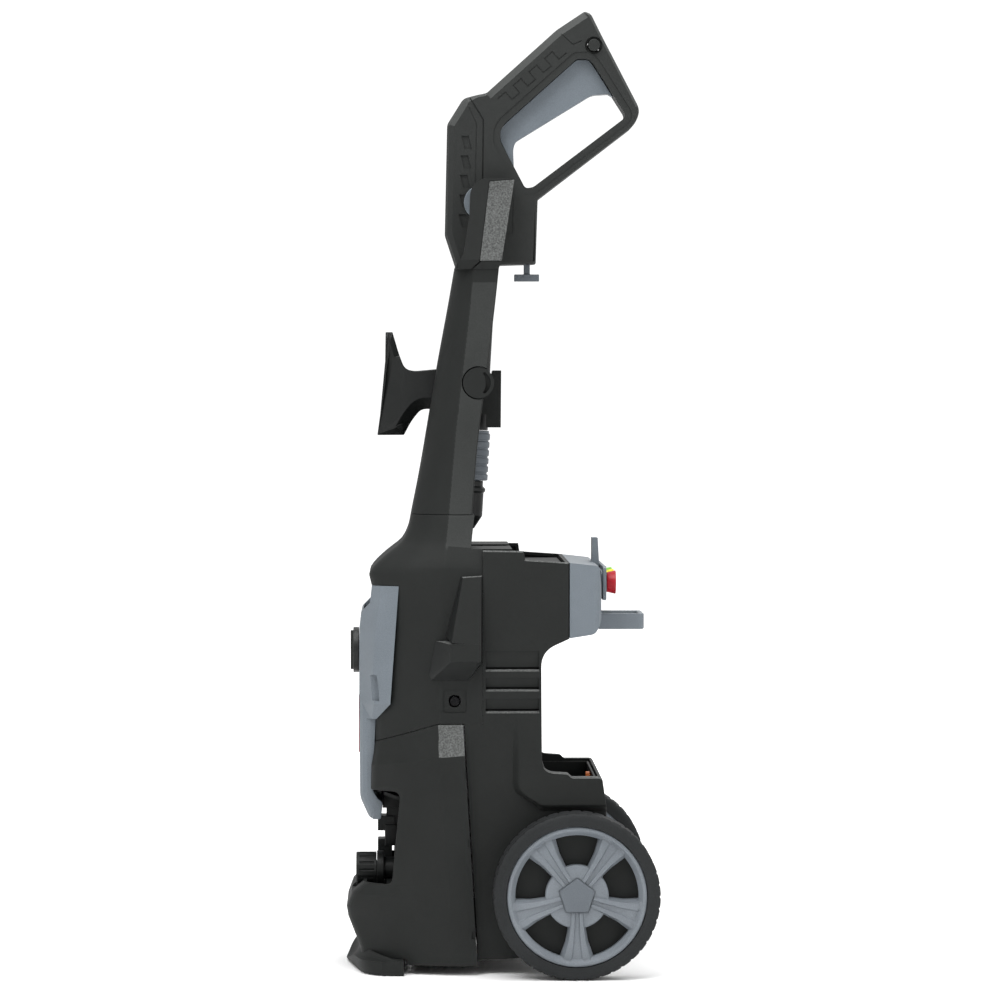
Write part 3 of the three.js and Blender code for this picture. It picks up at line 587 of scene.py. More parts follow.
def gridSlab(name, front, back, rows, columns):
    # two grids of points of the same size joined into a closed slab
    row, column = np.meshgrid(np.arange(rows - 1), np.arange(columns - 1), indexing="ij")
    corner = (row * columns + column).ravel()
    quads = np.column_stack([corner, corner + columns, corner + columns + 1, corner + 1])
    count = rows * columns
    rim = np.concatenate([
        np.arange(columns),
        np.arange(1, rows) * columns + columns - 1,
        (rows - 1) * columns + np.arange(columns - 2, -1, -1),
        np.arange(rows - 2, 0, -1) * columns,
    ])
    ahead = np.roll(rim, -1)
    walls = np.column_stack([rim, ahead, ahead + count, rim + count])
    faces = np.concatenate([quads, quads[:, ::-1] + count, walls])
    return meshOf(name, np.concatenate([front, back]), faces.tolist())


def seamRegion(name, shift):
    # everything in front of the seam between the front casings and the rear housing
    (lowY, _), (highY, highZ) = seam["skirtRear"]
    rear = seam["coverRear"] + shift
    points = [
        (-200, -10),
        (lowY + shift, -10),
        (highY + shift, highZ),
        (rear, highZ),
        (rear, seam["cheek"]),
        (20, seam["cheek"]),
        (20, 500),
        (-200, 500),
    ]
    return prism(name, "x", points, -300, 300)


def louvreCuts():
    # each louvre leans in towards its foot, where a slit lets the air in
    front, rear = housing["louvreSpan"]
    out = housing["half"] + 2
    cuts = []
    for top, foot in housing["louvres"]:
        wedge = [
            (out, top),
            (102.9, top),
            (99.6, foot + 2.2),
            (94, foot + 2.2),
            (94, foot + 0.2),
            (101.8, foot + 0.2),
            (housing["half"], foot - 1.5),
            (out, foot - 1.5),
        ]
        for sign in (1, -1):
            cuts.append(prism("louvre", "y", [(sign * x, z) for x, z in wedge], front, rear))
    return cuts


def sidePair(name, outline, near, far):
    # the same outline on the right and on the left
    return [prism(name, "x", outline, near, far), prism(name, "x", outline, -far, -near)]


def bothWalls(name, outline, depth, half):
    # a recess of an outline in both side walls
    return sidePair(name, outline, half - depth, half + 20)


def groove(path, width):
    # the outline of a line of a width along a path of (u, v) points
    path = np.asarray(path, float)
    way = np.gradient(path, axis=0)
    way /= np.linalg.norm(way, axis=1)[:, None]
    side = np.column_stack([-way[:, 1], way[:, 0]]) * width / 2
    return np.concatenate([path + side, (path - side)[::-1]])


def rearHousing():
    outline = curve(housing["outline"], 8)
    half, wall = housing["half"], housing["wall"]
    shell = prism("rear", "x", outline, -half, half, housing["edge"], 4)
    bulges = []
    for sign in (1, -1):
        skin, back = bulgeSide(sign)
        swell = cutInThree(gridSlab("bulge", skin, back, 70, 74))
        within = prism("within", "x", inward(outline, 0.6), -130, 130)
        bulges.append(cutWith(swell, [within], "INTERSECT"))
    shell = cutWith(shell, bulges, "UNION")
    binHalf, front, back, floor = housing["bin"]
    axleY, axleZ, axleRadius = housing["axle"]
    wide = housing["openHalf"]
    inner = cutWith(
        prism("inner", "x", curve(smaller(housing["outline"], wall), 6), wall - half, half - wall),
        [
            block("louvre backs", 90, 110, -16, 36, 234, 296),
            block("louvre backs", -110, -90, -16, 36, 234, 296),
            block("bin seat", -binHalf - 3, binHalf + 3, front - 3, back + 3, floor - 3, 190),
        ],
    )
    shell = cutWith(
        shell,
        [
            inner,
            seamRegion("seam", 0),
            block("bin", -binHalf, binHalf, front, back, floor, 250),
            *[block("deck", -wide, wide, *step, 400) for step in housing["deck"]],
            block("rear opening", -wide, wide, *housing["rearOpening"]),
            rod("axle hole", axleRadius, -200, 200, "x", (0, axleY, axleZ), 32),
            *louvreCuts(),
        ],
    )
    piece = standFor(shell, blackAbs, "rear_housing", 24)
    # upward faces on the sides (louvre slopes, bin and deck rims) painted lighter as highlight
    takeFaces(
        piece,
        grainedHighlightAbs,
        lambda at, way: (way[:, 2] > 0.45) & (np.abs(at[:, 0]) > 96) & (at[:, 2] > 100)
        & ((at[:, 2] < 280) | (at[:, 2] > 360)),
    )


rearHousing()
print("rear housing made")


# ---- front casings and tower ----
skirtLevels = levelsOf([
    (8.5, -126, 76, -44, 115, 10),
    (14, -127, 76, -44, 114.6, 10),
    (21, -127.8, 76, -44.6, 113.4, 10),
    (30, -131.4, 73, -45, 113, 10),
    (48, -138.9, 66, -46.2, 113, 10),
    (57, -140.4, 66, -47, 113, 10),
    (70, -135.6, 70, -48, 112.6, 10),
    (79.5, -125, 74, -48.5, 112.3, 10),
    (150, -118.4, 76, -53, 112.2, 10),
    (197, -117.6, 76, -55.5, 112, 10),
    (226.4, -114.2, 72.6, -57, 104.6, 10),
])
coverLevels = levelsOf([
    (226.8, -114, 72, -57, 104, 10),
    (332, -114.2, 72, -53.3, 103.2, 10),
    (352, -117.6, 72, -52.5, 103, 10),
    (361, -119.6, 70, -52, 102.5, 10),
    (368, -115.5, 69, -51.5, 102, 10),
    (379.5, -103.4, 66, -50.8, 98, 10),
    (390, -90.5, 63, -50, 94, 10),
    (401.5, -84.4, 60, -48.8, 91, 10),
    (415.3, -81.3, 58, -47.5, 88, 10),
])
towerLevels = levelsOf([
    (415.7, -81.3, 58, -47.5, 88, -25.8),
    (450, -74.5, 54, -44.5, 82.5, -23.4),
    (490, -67.5, 51, -41, 77.5, -19.6),
    (550, -57.5, 47, -34, 70.5, -11.6),
    (611, -46.3, 43, -27, 65, -4.2),
    (641.6, -41, 41, -23.6, 62, -0.9),
])
panelSeatLevels = levelsOf([(200, -114, 72, -57, 104, 10), (360, -114.2, 72, -53.3, 103.2, 10)])
casingWall = 3
screwSpot = (-42, 247.5)
bossSpot = (-20, 535)
bossRadius = 14.2


def pointsOf(mesh):
    points = np.empty(len(mesh.vertices) * 3)
    mesh.vertices.foreach_get("co", points)
    return points.reshape(-1, 3) / mm


def reshaped(mesh, change):
    # moves the mesh's points by a function of their millimetre places
    mesh.vertices.foreach_set("co", (change(pointsOf(mesh)) * mm).ravel())
    mesh.update()
    return mesh


def droopedSeam(points):
    # the seam between cover and skirt falls away towards the front
    y, z = points[:, 1], points[:, 2]
    near = np.where(z < 227, smoothStep((z - 165) / 62), 1 - smoothStep((z - 227) / 80))
    points[:, 2] -= 0.31 * np.maximum(-57 - y, 0) * near
    return points


def lanceChannel(growth):
    front = [-28.8 + 0.058 * (z - 388) - 17 - growth for z in (380, 612)]
    channel = [(front[0], 380), (60, 380), (60, 612 + growth), (front[1], 612 + growth)]
    return prism("channel", "x", channel, -21 - growth, 21 + growth)


def frontSkirt():
    shell = reshaped(casing("skirt", skirtLevels, crisp=True, spacing=6, edge=0.8), droopedSeam)
    hollowLevels = [{**skirtLevels[0], "z": -5}, *skirtLevels[:-1], {**skirtLevels[-1], "z": 232}]
    hollow = reshaped(casing("hollow", hollowLevels, inset=casingWall, edge=0.1, crisp=True), droopedSeam)
    mouth = curve([(-200, 80.5), (-124, 80.5), (-99, 80, 6), (-91, 165, 8), (-200, 165)], 6)
    shell = cutWith(shell, [seamRegion("front", -1.3)], "INTERSECT")
    clips = [(z, bothWalls("clip", [(y - 2, z), (y + 4, z), (y + 4, z + 7), (y - 2, z + 7)], 2, 113))
             for y, z in ((-28.3, 116), (-24.7, 33), (-31, 178))]
    shell = cutWith(
        shell,
        [
            hollow,
            prism("mouth", "x", mouth, -300, 300),
            block("nut notch", 7, 45, -150, -108, 69, 110),
            block("foot", -200, 200, -200, -86, -10, 13.9),
            *[tool for _, pair in clips for tool in pair],
        ],
    )
    piece = standFor(shell, blackAbs, "front_skirt", 9)
    # the skirt's upward-leaning side chamfer painted lighter as highlight
    takeFaces(
        piece,
        grainedHighlightAbs,
        lambda at, way: (at[:, 1] > -56.6) & (at[:, 2] > 198) & (at[:, 2] < 226) & (np.abs(way[:, 0]) > 0.8)
        & (way[:, 2] > 0.1) & (np.abs(at[:, 0]) > 103),
    )


def roundedSquare(y, z, half, reach):
    sides = [(-half, -half), (half, -half), (half, half), (-half, half)]
    return curve([(y + u, z + v, reach) for u, v in sides])


def frontCover():
    shell = reshaped(casing("cover", coverLevels, spacing=4, edge=0.4), droopedSeam)
    hollowLevels = [{**level, "rear": min(level["rear"], -22) - casingWall} for level in coverLevels]
    hollowLevels[0]["z"], hollowLevels[-1]["z"] = 196, 436
    hollow = casing("hollow", hollowLevels, inset=casingWall, edge=0.1)
    frontLevels = [{**level, "rear": 30} for level in coverLevels[:4]]
    frontLevels[0]["z"] = 196
    frontHollow = casing("hollow", frontLevels, inset=casingWall, edge=0.1)
    hollow = cutWith(cutWith(hollow, [frontHollow], "UNION"), [lanceChannel(casingWall)])
    shell = cutWith(shell, [seamRegion("front", -0.15)], "INTERSECT")
    panelSeat = cutWith(
        block("seat", -200, 200, -200, -92.2, 226, 351),
        [casing("panel seat", panelSeatLevels, spacing=20, edge=0.1)],
    )
    y, z = screwSpot
    square, hole = roundedSquare(y, z, 10.7, 3), roundedSquare(y, z, 5.6, 5.6)
    shell = cutWith(
        shell,
        [
            hollow,
            panelSeat,
            lanceChannel(0),
            prism("shoulder", "x", [(-27.2, 384.8), (60, 384.8), (60, 430), (-22.4, 430)], -200, 200),
            rod("switch hole", 8, -130, -100, "y", (0, 0, 288), 24),
            *bothWalls("screw recess", square, 0.9, 103.6),
            *bothWalls("screw hole", hole, 12, 104),
        ],
    )
    piece = standFor(shell, blackAbs, "front_cover", 14)
    # the side band above the shoulder: real fine grain, lighter tone painted as highlight
    takeFaces(
        piece,
        bandHighlightAbs,
        lambda at, way: (at[:, 2] > 384.8) & (np.abs(way[:, 0]) > 0.9) & (np.abs(at[:, 0]) > 60)
        & (at[:, 1] > np.interp(at[:, 2], [384, 415], [-50.3, -47])),
    )


armInner = 24
armOutline = [
    (-41, 638.6),
    (-33, 653.5, 4),
    (-27.5, 690),
    (-27, 722, 18),
    (12.8, 722, 1.5),
    (1, 646),
    (-1.6, 638.6),
]
gripOutline = [(-18.6, 646), (1.2, 646), (13.2, 720.6), (-9.6, 718.8)]
gripDepth = 4


def armFace(sign, depth):
    outer = [(62, 600), (62.5, 638), (69, 647), (52, 730)]
    face = [(armInner, 600), *[(x - depth, z) for x, z in outer], (armInner, 730)]
    return [(sign * x, z) for x, z in face]


def sideRange(sign, near, far):
    return (near, far) if sign > 0 else (-far, -near)


def towerShell():
    shell = casing("tower", towerLevels, spacing=5, edge=0.25)
    hollowLevels = [{**level, "rear": level["rear"] - casingWall} for level in towerLevels]
    hollowLevels[0]["z"], hollowLevels[-1]["z"] = 395, 638.6
    hollow = cutWith(casing("hollow", hollowLevels, inset=casingWall, edge=0.1), [lanceChannel(casingWall)])
    arms = []
    for sign in (1, -1):
        near, far = sideRange(sign, armInner, 80)
        seat = prism("seat", "x", inward(np.array(gripOutline, float), -0.4), near - 1, far)
        seat = cutWith(seat, [prism("floor", "y", armFace(sign, gripDepth), -60, 40)])
        arm = prism("arm", "x", curve(armOutline, 10), near, far)
        arm = cutWith(arm, [prism("face", "y", armFace(sign, 0), -60, 40)], "INTERSECT")
        arms.append(cutWith(arm, [seat]))
    chamferLine = groove([(-17.5, 646), (-27.5, 637.5), (-36, 625), (-46, 612)], 1.3)
    y, z = bossSpot
    shell = cutWith(
        shell,
        [
            hollow,
            lanceChannel(0),
            rod("socket", 12, 600, 660, "z", (0, -22, 0), 32),
            rod("boss", bossRadius + 1, -200, 200, "x", (0, y, z), 64),
        ],
    )
    shell = cutWith(shell, arms, "UNION")
    shell = cutWith(shell, [prism("line", "x", chamferLine, s * 66 - 4.6, s * 66 + 4.6) for s in (1, -1)])
    piece = standFor(shell, blackAbs, "tower_shell", 14)
    # the tower's side bands: real fine grain, lighter tone painted as highlight
    takeFaces(
        piece,
        bandHighlightAbs,
        lambda at, way: (at[:, 2] < 627) & (np.abs(way[:, 0]) > 0.93) & (np.abs(at[:, 0]) > 40)
        & (at[:, 1] > np.interp(at[:, 2], [415, 450, 490, 550, 611], [-47, -44, -40.5, -33.5, -26.5])),
    )


frontSkirt()
frontCover()
towerShell()
print("front casings and tower made")


# ---- wheels and tyres ----
wheel = {
    "axleY": 67,
    "axleZ": 75,
    "middle": 133,
    "half": 17,
    "radius": 75,
    "lugs": 44,
    "lugHeight": 0.9,
    "spokes": 5,
}


def tyre(sign):
    # a tube section turned about the axle, with lugs standing up along each shoulder
    half = wheel["half"]
    base = wheel["radius"] - wheel["lugHeight"]
    section = curve([(-half, 63.4), (half, 63.4), (half, base, 4), (-half, base, 4)], 5)
    treads = np.linspace(-half + 3, half - 3, 9)
    tread = np.column_stack([treads[::-1], np.full(9, base)])
    section = np.concatenate([section[:8], tread, section[8:]])
    side = wheel["lugs"] * 6
    angle = np.arange(side) * 2 * math.pi / side
    part = (np.arange(side) % 6)[:, None]
    across, radius = section[None, :, 0], section[None, :, 1]
    shoulder = (np.abs(across) > half - 13) & (radius > base - 2.5)
    shifted = np.where(across > 0, part, (part + 3) % 6)
    lug = np.where(shoulder & (shifted > 0), wheel["lugHeight"], 0)
    r = radius + lug * np.clip((radius - base + 2.5) / 2.5, 0, 1)
    x = np.broadcast_to(across, r.shape) + sign * wheel["middle"]
    y = wheel["axleY"] + r * np.cos(angle)[:, None]
    z = wheel["axleZ"] + r * np.sin(angle)[:, None]
    count = len(section)
    points = np.stack([x, y, z], -1).reshape(-1, 3)
    i, j = np.meshgrid(np.arange(side), np.arange(count), indexing="ij")
    nextI, nextJ = (i + 1) % side, (j + 1) % count
    quads = np.stack([i * count + j, nextI * count + j, nextI * count + nextJ, i * count + nextJ], -1)
    return meshOf("tyre", points, quads.reshape(-1, 4).tolist())


def spoke(turn, face):
    # one spoke from hub to rim: steep flanks, two lands and a shallow channel between them
    across = np.array([-1, -0.97, -0.74, -0.32, -0.24, 0.24, 0.32, 0.74, 0.97, 1])
    rise = np.array([-12, -5.5, -0.6, 0, -1.8, -1.8, 0, -0.6, -5.5, -12])
    out = np.linspace(13, 58.5, 14)
    half = np.interp(out, [13, 24, 40, 54, 58.5], [6.5, 7.4, 10.2, 15.2, 17.5])
    dish = np.interp(out, [13, 24, 48, 58.5], [-1.2, 0, -1.6, -3.6])
    u = out[:, None] * np.ones(10)
    v = half[:, None] * across
    shallower = np.interp(out, [13, 30, 58.5], [1, 1, 0.55])[:, None]
    w = face + dish[:, None] + np.where(rise < -4, rise, rise * shallower)
    angle = math.pi / 2 + turn
    y = u * math.cos(angle) - v * math.sin(angle)
    z = u * math.sin(angle) + v * math.cos(angle)
    front = np.stack([w, y, z], -1).reshape(-1, 3)
    back = front.copy()
    back[:, 0] = face - 13
    return cutInThree(gridSlab("spoke", front, back, 14, 10))


def wheelDisc():
    # about its own axle along +X, its outer face towards +X
    face = wheel["half"] - 1
    deep = -wheel["half"] + 1
    rimProfile = [
        (55.5, face - 12),
        (56.5, deep),
        (63, deep),
        (63, face - 1.4),
        (62.2, face - 0.4),
        (60.8, face),
        (59.2, face - 0.3),
        (56.2, face - 3.6),
        (55.2, face - 5.4),
        (55.5, face - 12),
    ]
    rim = turned("rim", rimProfile, "x", (0, 0, 0), 96)
    front = face - 2.6
    hubProfile = [(0, face - 13), (28.5, face - 13), (28.5, front - 1), (27.6, front), (0, front)]
    hub = turned("hub", hubProfile, "x", (0, 0, 0), 72)
    sleeve = rod("sleeve", 12, deep, face - 8, "x", (0, 0, 0), 40)
    arms = [spoke(2 * math.pi * (i + 0.5) / wheel["spokes"], face) for i in range(wheel["spokes"])]
    disc = cutWith(rim, [hub, sleeve, *arms], "UNION")
    corners = [(17.8 * math.sin(a), 17.8 * math.cos(a)) for a in np.arange(5) * 2 * math.pi / 5]
    seat = prism("cap seat", "x", corners, face - 3.2, face + 9)
    bore = rod("bore", 5.4, -40, 14, "x", (0, 0, 0), 32)
    return cutWith(disc, [seat, bore])


def hubCap():
    corners = [(17 * math.sin(a), 17 * math.cos(a), 1.2) for a in np.arange(5) * 2 * math.pi / 5]
    return prism("cap", "x", curve(corners[::-1], 3), wheel["half"] - 3.6, wheel["half"] - 0.3, 1.3, 2)


def atWheel(mesh, sign):
    # the left wheel is the right one turned half way round the upright axis
    turn = np.array([sign, sign, 1])
    place = np.array([sign * wheel["middle"], wheel["axleY"], wheel["axleZ"]])
    return reshaped(mesh.copy(), lambda at: at * turn + place)


def wheelLiner(sign):
    # the black web that closes the wheel behind its spokes
    at = wheel["middle"]
    profile = [(12.4, 1), (56.2, 1), (56.2, 3), (30, 3.4), (12.4, 4.5), (12.4, 1)]
    profile = [(radius, sign * (at + place - 3)) for radius, place in profile]
    mesh = turned("liner", profile, "x", (0, wheel["axleY"], wheel["axleZ"]), 72)
    side = "right" if sign > 0 else "left"
    return link(f"wheel_web_{side}", shade(mesh, 25), blackAbs, f"wheel_unit_{side}")


discMesh, capMesh = wheelDisc(), hubCap()
for side, sign in (("right", 1), ("left", -1)):
    standFor(atWheel(discMesh, sign), wheelNylon, f"wheel_{side}", 22)
    standFor(atWheel(capMesh, sign), darkGreyAbs, f"hub_cap_{side}", 22)
    standFor(tyre(sign), tyreRubber, f"tyre_{side}", 28)
    wheelLiner(sign)
print("wheels made")


# ---- spray gun ----
gun = {
    "half": 18,
    "outline": [
        (-40.4, 642),
        (-18, 642.9),
        (33.7, 644.7, 1),
        (35.5, 703.8, 2),
        (124.5, 772, 7),
        (130.3, 786, 7),
        (94.2, 855.3, 3),
        (84.4, 875.1, 3),
        (78.7, 877.2, 2),
        (52.8, 860, 3),
        (-12, 801.7, 3),
        (-20, 800.2),
        (-33, 797, 4),
        (-47.8, 773.3, 2),
        (-50, 671.4, 2),
    ],
    "opening": [
        (1.1, 757.5),
        (15.2, 731.1),
        (24, 714.4, 3),
        (31.1, 715.2, 3),
        (117.5, 780.5, 5),
        (86.5, 829.1, 2),
        (82.2, 833.4, 2),
        (71.6, 833.4, 2),
        (4.4, 773.4, 3),
        (1.1, 766.4, 2),
    ],
    "bezel": 6.5,
    "split": [(-28, 801.5), (-26.8, 797), (-14.6, 777), (-15.2, 725), (-16, 640)],
    "rib": [(-28, 789), (-21, 774), (-21.7, 725), (-22.5, 650)],
    "capLine": [(50, 862.5), (68, 846.6), (76, 850)],
    "panelLine": [(5.5, 672.5), (12, 672.5), (13, 705), (7, 716)],
    "meander": {"from": (1.5, 793), "to": (62, 845), "period": 19, "swing": 4.6},
    "slots": {
        "first": (-30, 756.5),
        "step": (-0.6, -18),
        "count": 5,
        "half": (3.4, 6),
        "slant": 3,
        "depth": 1.8,
    },
    "triggerWay": [
        (-12, 758),
        (-4, 757),
        (13, 735),
        (106, 796),
        (104, 817),
        (73, 850),
        (54, 850),
        (4, 785),
        (-12, 775),
    ],
    "triggerPin": (-5.5, 766),
    "lock": (87.1, 845.7),
}


def meanderPath(look):
    # a square wave carried along a straight line
    start, end = np.array(look["from"], float), np.array(look["to"], float)
    length = np.linalg.norm(end - start)
    along = (end - start) / length
    across = np.array([-along[1], along[0]])
    turns = int(length / (look["period"] / 2))
    places = np.arange(turns + 1) * look["period"] / 2
    sides = np.where(np.arange(turns + 1) % 2 == 0, 1, -1) * look["swing"]
    steps = []
    for i in range(turns):
        steps.append(start + along * places[i] + across * sides[i])
        steps.append(start + along * places[i + 1] + across * sides[i])
    return np.array(steps)


def band(path, width):
    # the outline of a line of a width along a path, its corners mitred
    path = np.asarray(path, float)
    way = np.diff(path, axis=0)
    way /= np.linalg.norm(way, axis=1)[:, None]
    normal = np.column_stack([-way[:, 1], way[:, 0]])
    before = np.vstack([normal[:1], normal])
    after = np.vstack([normal, normal[-1:]])
    lean = 1 + np.sum(before * after, axis=1)[:, None]
    side = (before + after) / lean * width / 2
    return np.concatenate([path + side, (path - side)[::-1]])


def lineCuts(path, width, depth):
    # a line pressed into both faces of the gun
    outline = band(path, width)
    return sidePair("line", outline, gun["half"] - depth, gun["half"] + 2)


def slotCuts(look):
    halfY, halfZ = look["half"]
    cuts = []
    for i in range(look["count"]):
        y = look["first"][0] + look["step"][0] * i
        z = look["first"][1] + look["step"][1] * i
        shape = [
            (y - halfY - look["slant"] / 2, z + halfZ),
            (y - halfY + look["slant"] / 2, z - halfZ),
            (y + halfY + look["slant"] / 2, z - halfZ),
            (y + halfY - look["slant"] / 2, z + halfZ),
        ]
        cuts += sidePair("slot", shape, gun["half"] - look["depth"], gun["half"] + 2)
    return cuts


def topChamfer(start, end, half):
    # a broad chamfer down both sides of the grip's top edge
    start, end = np.array(start, float), np.array(end, float)
    along = (end - start) / np.linalg.norm(end - start)
    out = np.array([-along[1], along[0]])
    start, end = start - along * 3, end + along * 3
    cuts = []
    for sign in (1, -1):
        rings = []
        for place in (start, end):
            for x, inset in ((half + 1, 7.6), (half - 6.4, -1), (half + 1, -3)):
                y, z = place - out * inset
                rings.append((sign * x, y, z))
        cuts.append(meshOf("chamfer", rings, ringFaces(2, 3)))
    return cuts


def gunBody():
    outline = curve(gun["outline"], 6)
    edge = 2.4 + 4.2 * smoothStep((-22 - outline[:, 0]) / 14)
    half = gun["half"]
    shell = prism("gun", "x", outline, -half, half, edge, 2)
    opening = curve(gun["opening"], 6)
    bezel = inward(opening, -gun["bezel"])
    shell = cutWith(
        shell,
        [
            *topChamfer((-10, 803.5), (52.8, 860), half),
            *topChamfer((52.8, 860), (76, 875.5), half),
            prism("opening", "x", opening, -40, 40),
            *sidePair("bezel", bezel, half - 1, 40),
            prism("trigger way", "x", gun["triggerWay"], -8, 8),
            rod("pin", 2.4, -12, 12, "x", (0, *gun["triggerPin"]), 24),
            rod("lock hole", 6, -40, 40, "x", (0, *gun["lock"]), 40),
            rod("lock ring", 8, 14, 40, "x", (0, *gun["lock"]), 40),
            block("valve space", -9.6, 9.6, -33, 31, 656, 676),
            rod("socket", 11, 600, 744, "z", (0, -22, 0), 32),
            rod("clip hole", 6.5, 620, 660, "z", (0, 25.9, 0), 24),
            *lineCuts(gun["split"], 1.3, 1.6),
            *lineCuts(gun["rib"], 0.8, 0.6),
            *lineCuts(gun["capLine"], 0.8, 0.9),
            *lineCuts(gun["panelLine"], 0.7, 0.6),
            *slotCuts(gun["slots"]),
        ],
    )
    return cutWith(shell, lineCuts(meanderPath(gun["meander"]), 1.1, 0.8))


gunPiece = standFor(gunBody(), gunNylon, "gun_body", 20)
# the gun's upward-leaning chamfer faces painted lighter as highlight
takeFaces(
    gunPiece,
    chamferHighlightNylon,
    lambda at, way: (np.abs(way[:, 0]) > 0.25) & (np.abs(way[:, 0]) < 0.97) & (way[:, 2] > 0.12)
    & (np.abs(at[:, 0]) > 10),
)
print("gun made")


# ---- cord hook, front panel, foot ----
hookProfile = [
    (-50, 548.5),
    (-78, 546, 4),
    (-87, 547.5, 6),
    (-92.5, 562, 4),
    (-98.4, 582, 0.8),
    (-104.8, 582, 0.8),
    (-105.4, 538, 6),
    (-112.4, 487, 1),
    (-87.8, 487, 1),
    (-81, 500, 6),
    (-72, 511, 5),
    (-50, 511),
]


def cordHook():
    # the prongs narrow towards their tips and have broad chamfers down both sides
    outline = curve(hookProfile, 6)
    foot = outline[:, 1] < 515
    edge = np.where(foot, 10.5, 0.8)
    edge = np.where(outline[:, 1] > 560, 5, edge)
    edge = np.where(foot & (outline[:, 0] < -100), 1, edge)
    shell = prism("hook", "x", outline, -17, 17, edge, 1)

    def narrower(at):
        at[:, 0] *= 1 - 0.45 * smoothStep((at[:, 2] - 548) / 36) - 0.12 * smoothStep((512 - at[:, 2]) / 20)
        return at

    return standFor(cutInThree(reshaped(shell, narrower)), smoothNylon, "cord_hook", 16)


panelProfile = [
    (-129, 250),
    (-128.3, 156.4, 5),
    (-119.4, 137, 3),
    (-109, 136.6, 2),
    (-107.2, 152.7, 3),
    (-112, 155.6, 2),
    (-116.4, 163.6, 4),
    (-112.6, 250),
]


panelRings = [  # height, front (half width, place), fold, rear edge
    (229, (57, -128.7), (70, -117), (72, -113)),
    (243.6, (57, -128.9), (80, -115), (88, -100.3)),
    (276, (57, -128.8), (82, -116.3), (89, -98)),
    (312, (57, -128.6), (81.6, -113.6), (90, -95.4)),
    (326, (60, -127), (81, -112.2), (90, -94.4)),
    (334, (69, -118.9), (80.6, -110.4), (90, -93.8)),
    (350.7, (70, -117.2), (80, -109), (90, -92.6)),
]


def frontPanel():
    # the upper half folds round the cover's corners and narrows to a chin; the strip below it
    # ends in a blunt toe
    rings = []
    for z, front, fold, rear in panelRings:
        side = [front, fold, rear]
        rings += [(x, y, z) for x, y in side + [(-x, y) for x, y in side[::-1]]]
    upper = cutInThree(meshOf("upper", rings, ringFaces(len(panelRings), 6)))
    upper = cutWith(
        upper,
        [
            casing("seat", panelSeatLevels, inset=-0.4, spacing=20, edge=0.1),
            block("hollow", -52, 52, -125, -100, 200, 340),
            rod("spindle hole", 5, -140, -100, "y", (0, 0, 288), 20),
            *[block("slot", *sideRange(sign, 76.6, 83.4), -122, -110, 246, 270, 1.2) for sign in (1, -1)],
        ],
    )
    outline = curve(panelProfile, 6)
    edge = np.where(outline[:, 0] < -117, 10.5, 0.8)
    strip = prism("strip", "x", outline, -65, 65, edge, 4)
    strip = cutWith(strip, [block("cavity", -52, 52, -125, -118, 160, 260)])
    shell = cutWith(upper, [cutInThree(strip)], "UNION")
    return standFor(shell, greyAbs, "front_panel", 16)


def panelAccent():
    # a thin red inlay down the middle of the panel's front
    outline = curve([(-16, 194, 3), (16, 194, 3), (16, 246, 3), (-16, 246, 3)], 4)
    mesh = prism("accent", "y", outline, -129.9, -128.4, 0.5, 2)
    return link("panel_accent", shade(mesh, 30), redAbs, "chassis")


def baseFoot():
    # bowed forward in the middle, with a hollow sweep from the skirt down to its lip, which is
    # thin in the middle and thicker towards the corners
    across = np.linspace(-116, 116, 41)
    out = np.abs(across)
    flat = np.ones(41)
    lip = -141.4 + 15 * (out / 105) ** 1.4 + 16 * (out / 116) ** 14
    top = 3.2 + 9.8 * smoothStep(out / 75)
    heel = np.maximum(-128.6 + 34 * (out / 116) ** 4, lip + 3)
    rise = 15.5 + 7.5 * smoothStep(out / 70) - 9 * (out / 116) ** 3
    rear = -88
    sections = [
        (flat * rear, flat * 0),
        (lip + 9, flat * 0),
        (lip + 3, flat * 0.6),
        (lip + 0.8, 0.45 * top),
        (lip + 0.1, 0.8 * top),
        (lip + 0.4, top),
    ]
    for t in np.linspace(0, 1, 7)[1:]:
        y = (1 - t) ** 2 * (lip + 0.4) + 2 * t * (1 - t) * (heel - 2.5) + t * t * heel
        z = (1 - t) ** 2 * top + 2 * t * (1 - t) * (top + 0.25 * (rise - top)) + t * t * rise
        sections.append((y, z))
    sections.append((heel + 1.6, rise))
    sections.append((heel + 1.8, flat * 13.4))
    sections.append((flat * rear, flat * 13.4))
    points = np.array([np.column_stack([across, y, z]) for y, z in sections])
    mesh = meshOf("foot", points.transpose(1, 0, 2).reshape(-1, 3), ringFaces(41, len(sections)))
    return standFor(cutInThree(mesh), blackAbs, "base_foot", 30)


def sizeOf(nodeName):
    # the low and high corners of a node in millimetres
    points = pointsOf(nodes[nodeName].data)
    return points.min(axis=0), points.max(axis=0)


def inletNut():
    # the hose nut has grip grooves along it
    low, high = sizeOf("inlet_nut")
    middle = (low + high) / 2
    radius = (high[0] - low[0]) / 2
    grooves = []
    for turn in np.arange(14) * math.tau / 14:
        centre = (middle[0] + radius * math.cos(turn), 0, middle[2] + radius * math.sin(turn))
        profile = [(0, low[1] + 3), (1.5, low[1] + 3), (1.5, high[1] - 2), (0, high[1] - 2)]
        grooves.append(turned("groove", profile, "y", centre, 8))
    mesh = cutWith(cleanMesh("nut", nodes["inlet_nut"].data), grooves)
    return standFor(mesh, smoothNylon, "inlet_nut", 24)


def outletBlocks():
    # the moulded shoulders behind the outlet, above and below its coupling
    low, high = sizeOf("outlet_fitting")
    x0, x1 = low[0] - 1, high[0] + 1
    upper = block("upper", x0 + 2, x1 - 2, -108, -91, 139, 163, 1)
    lower = block("lower", x0, x1, -106, -91.5, 104, 124, 1.5)
    mesh = cutWith(upper, [lower, block("neck", x0 + 4, x1 - 4, -104.5, -91.5, 120, 144)], "UNION")
    return link("outlet_shoulders", shade(mesh, 24), smoothNylon, "chassis")


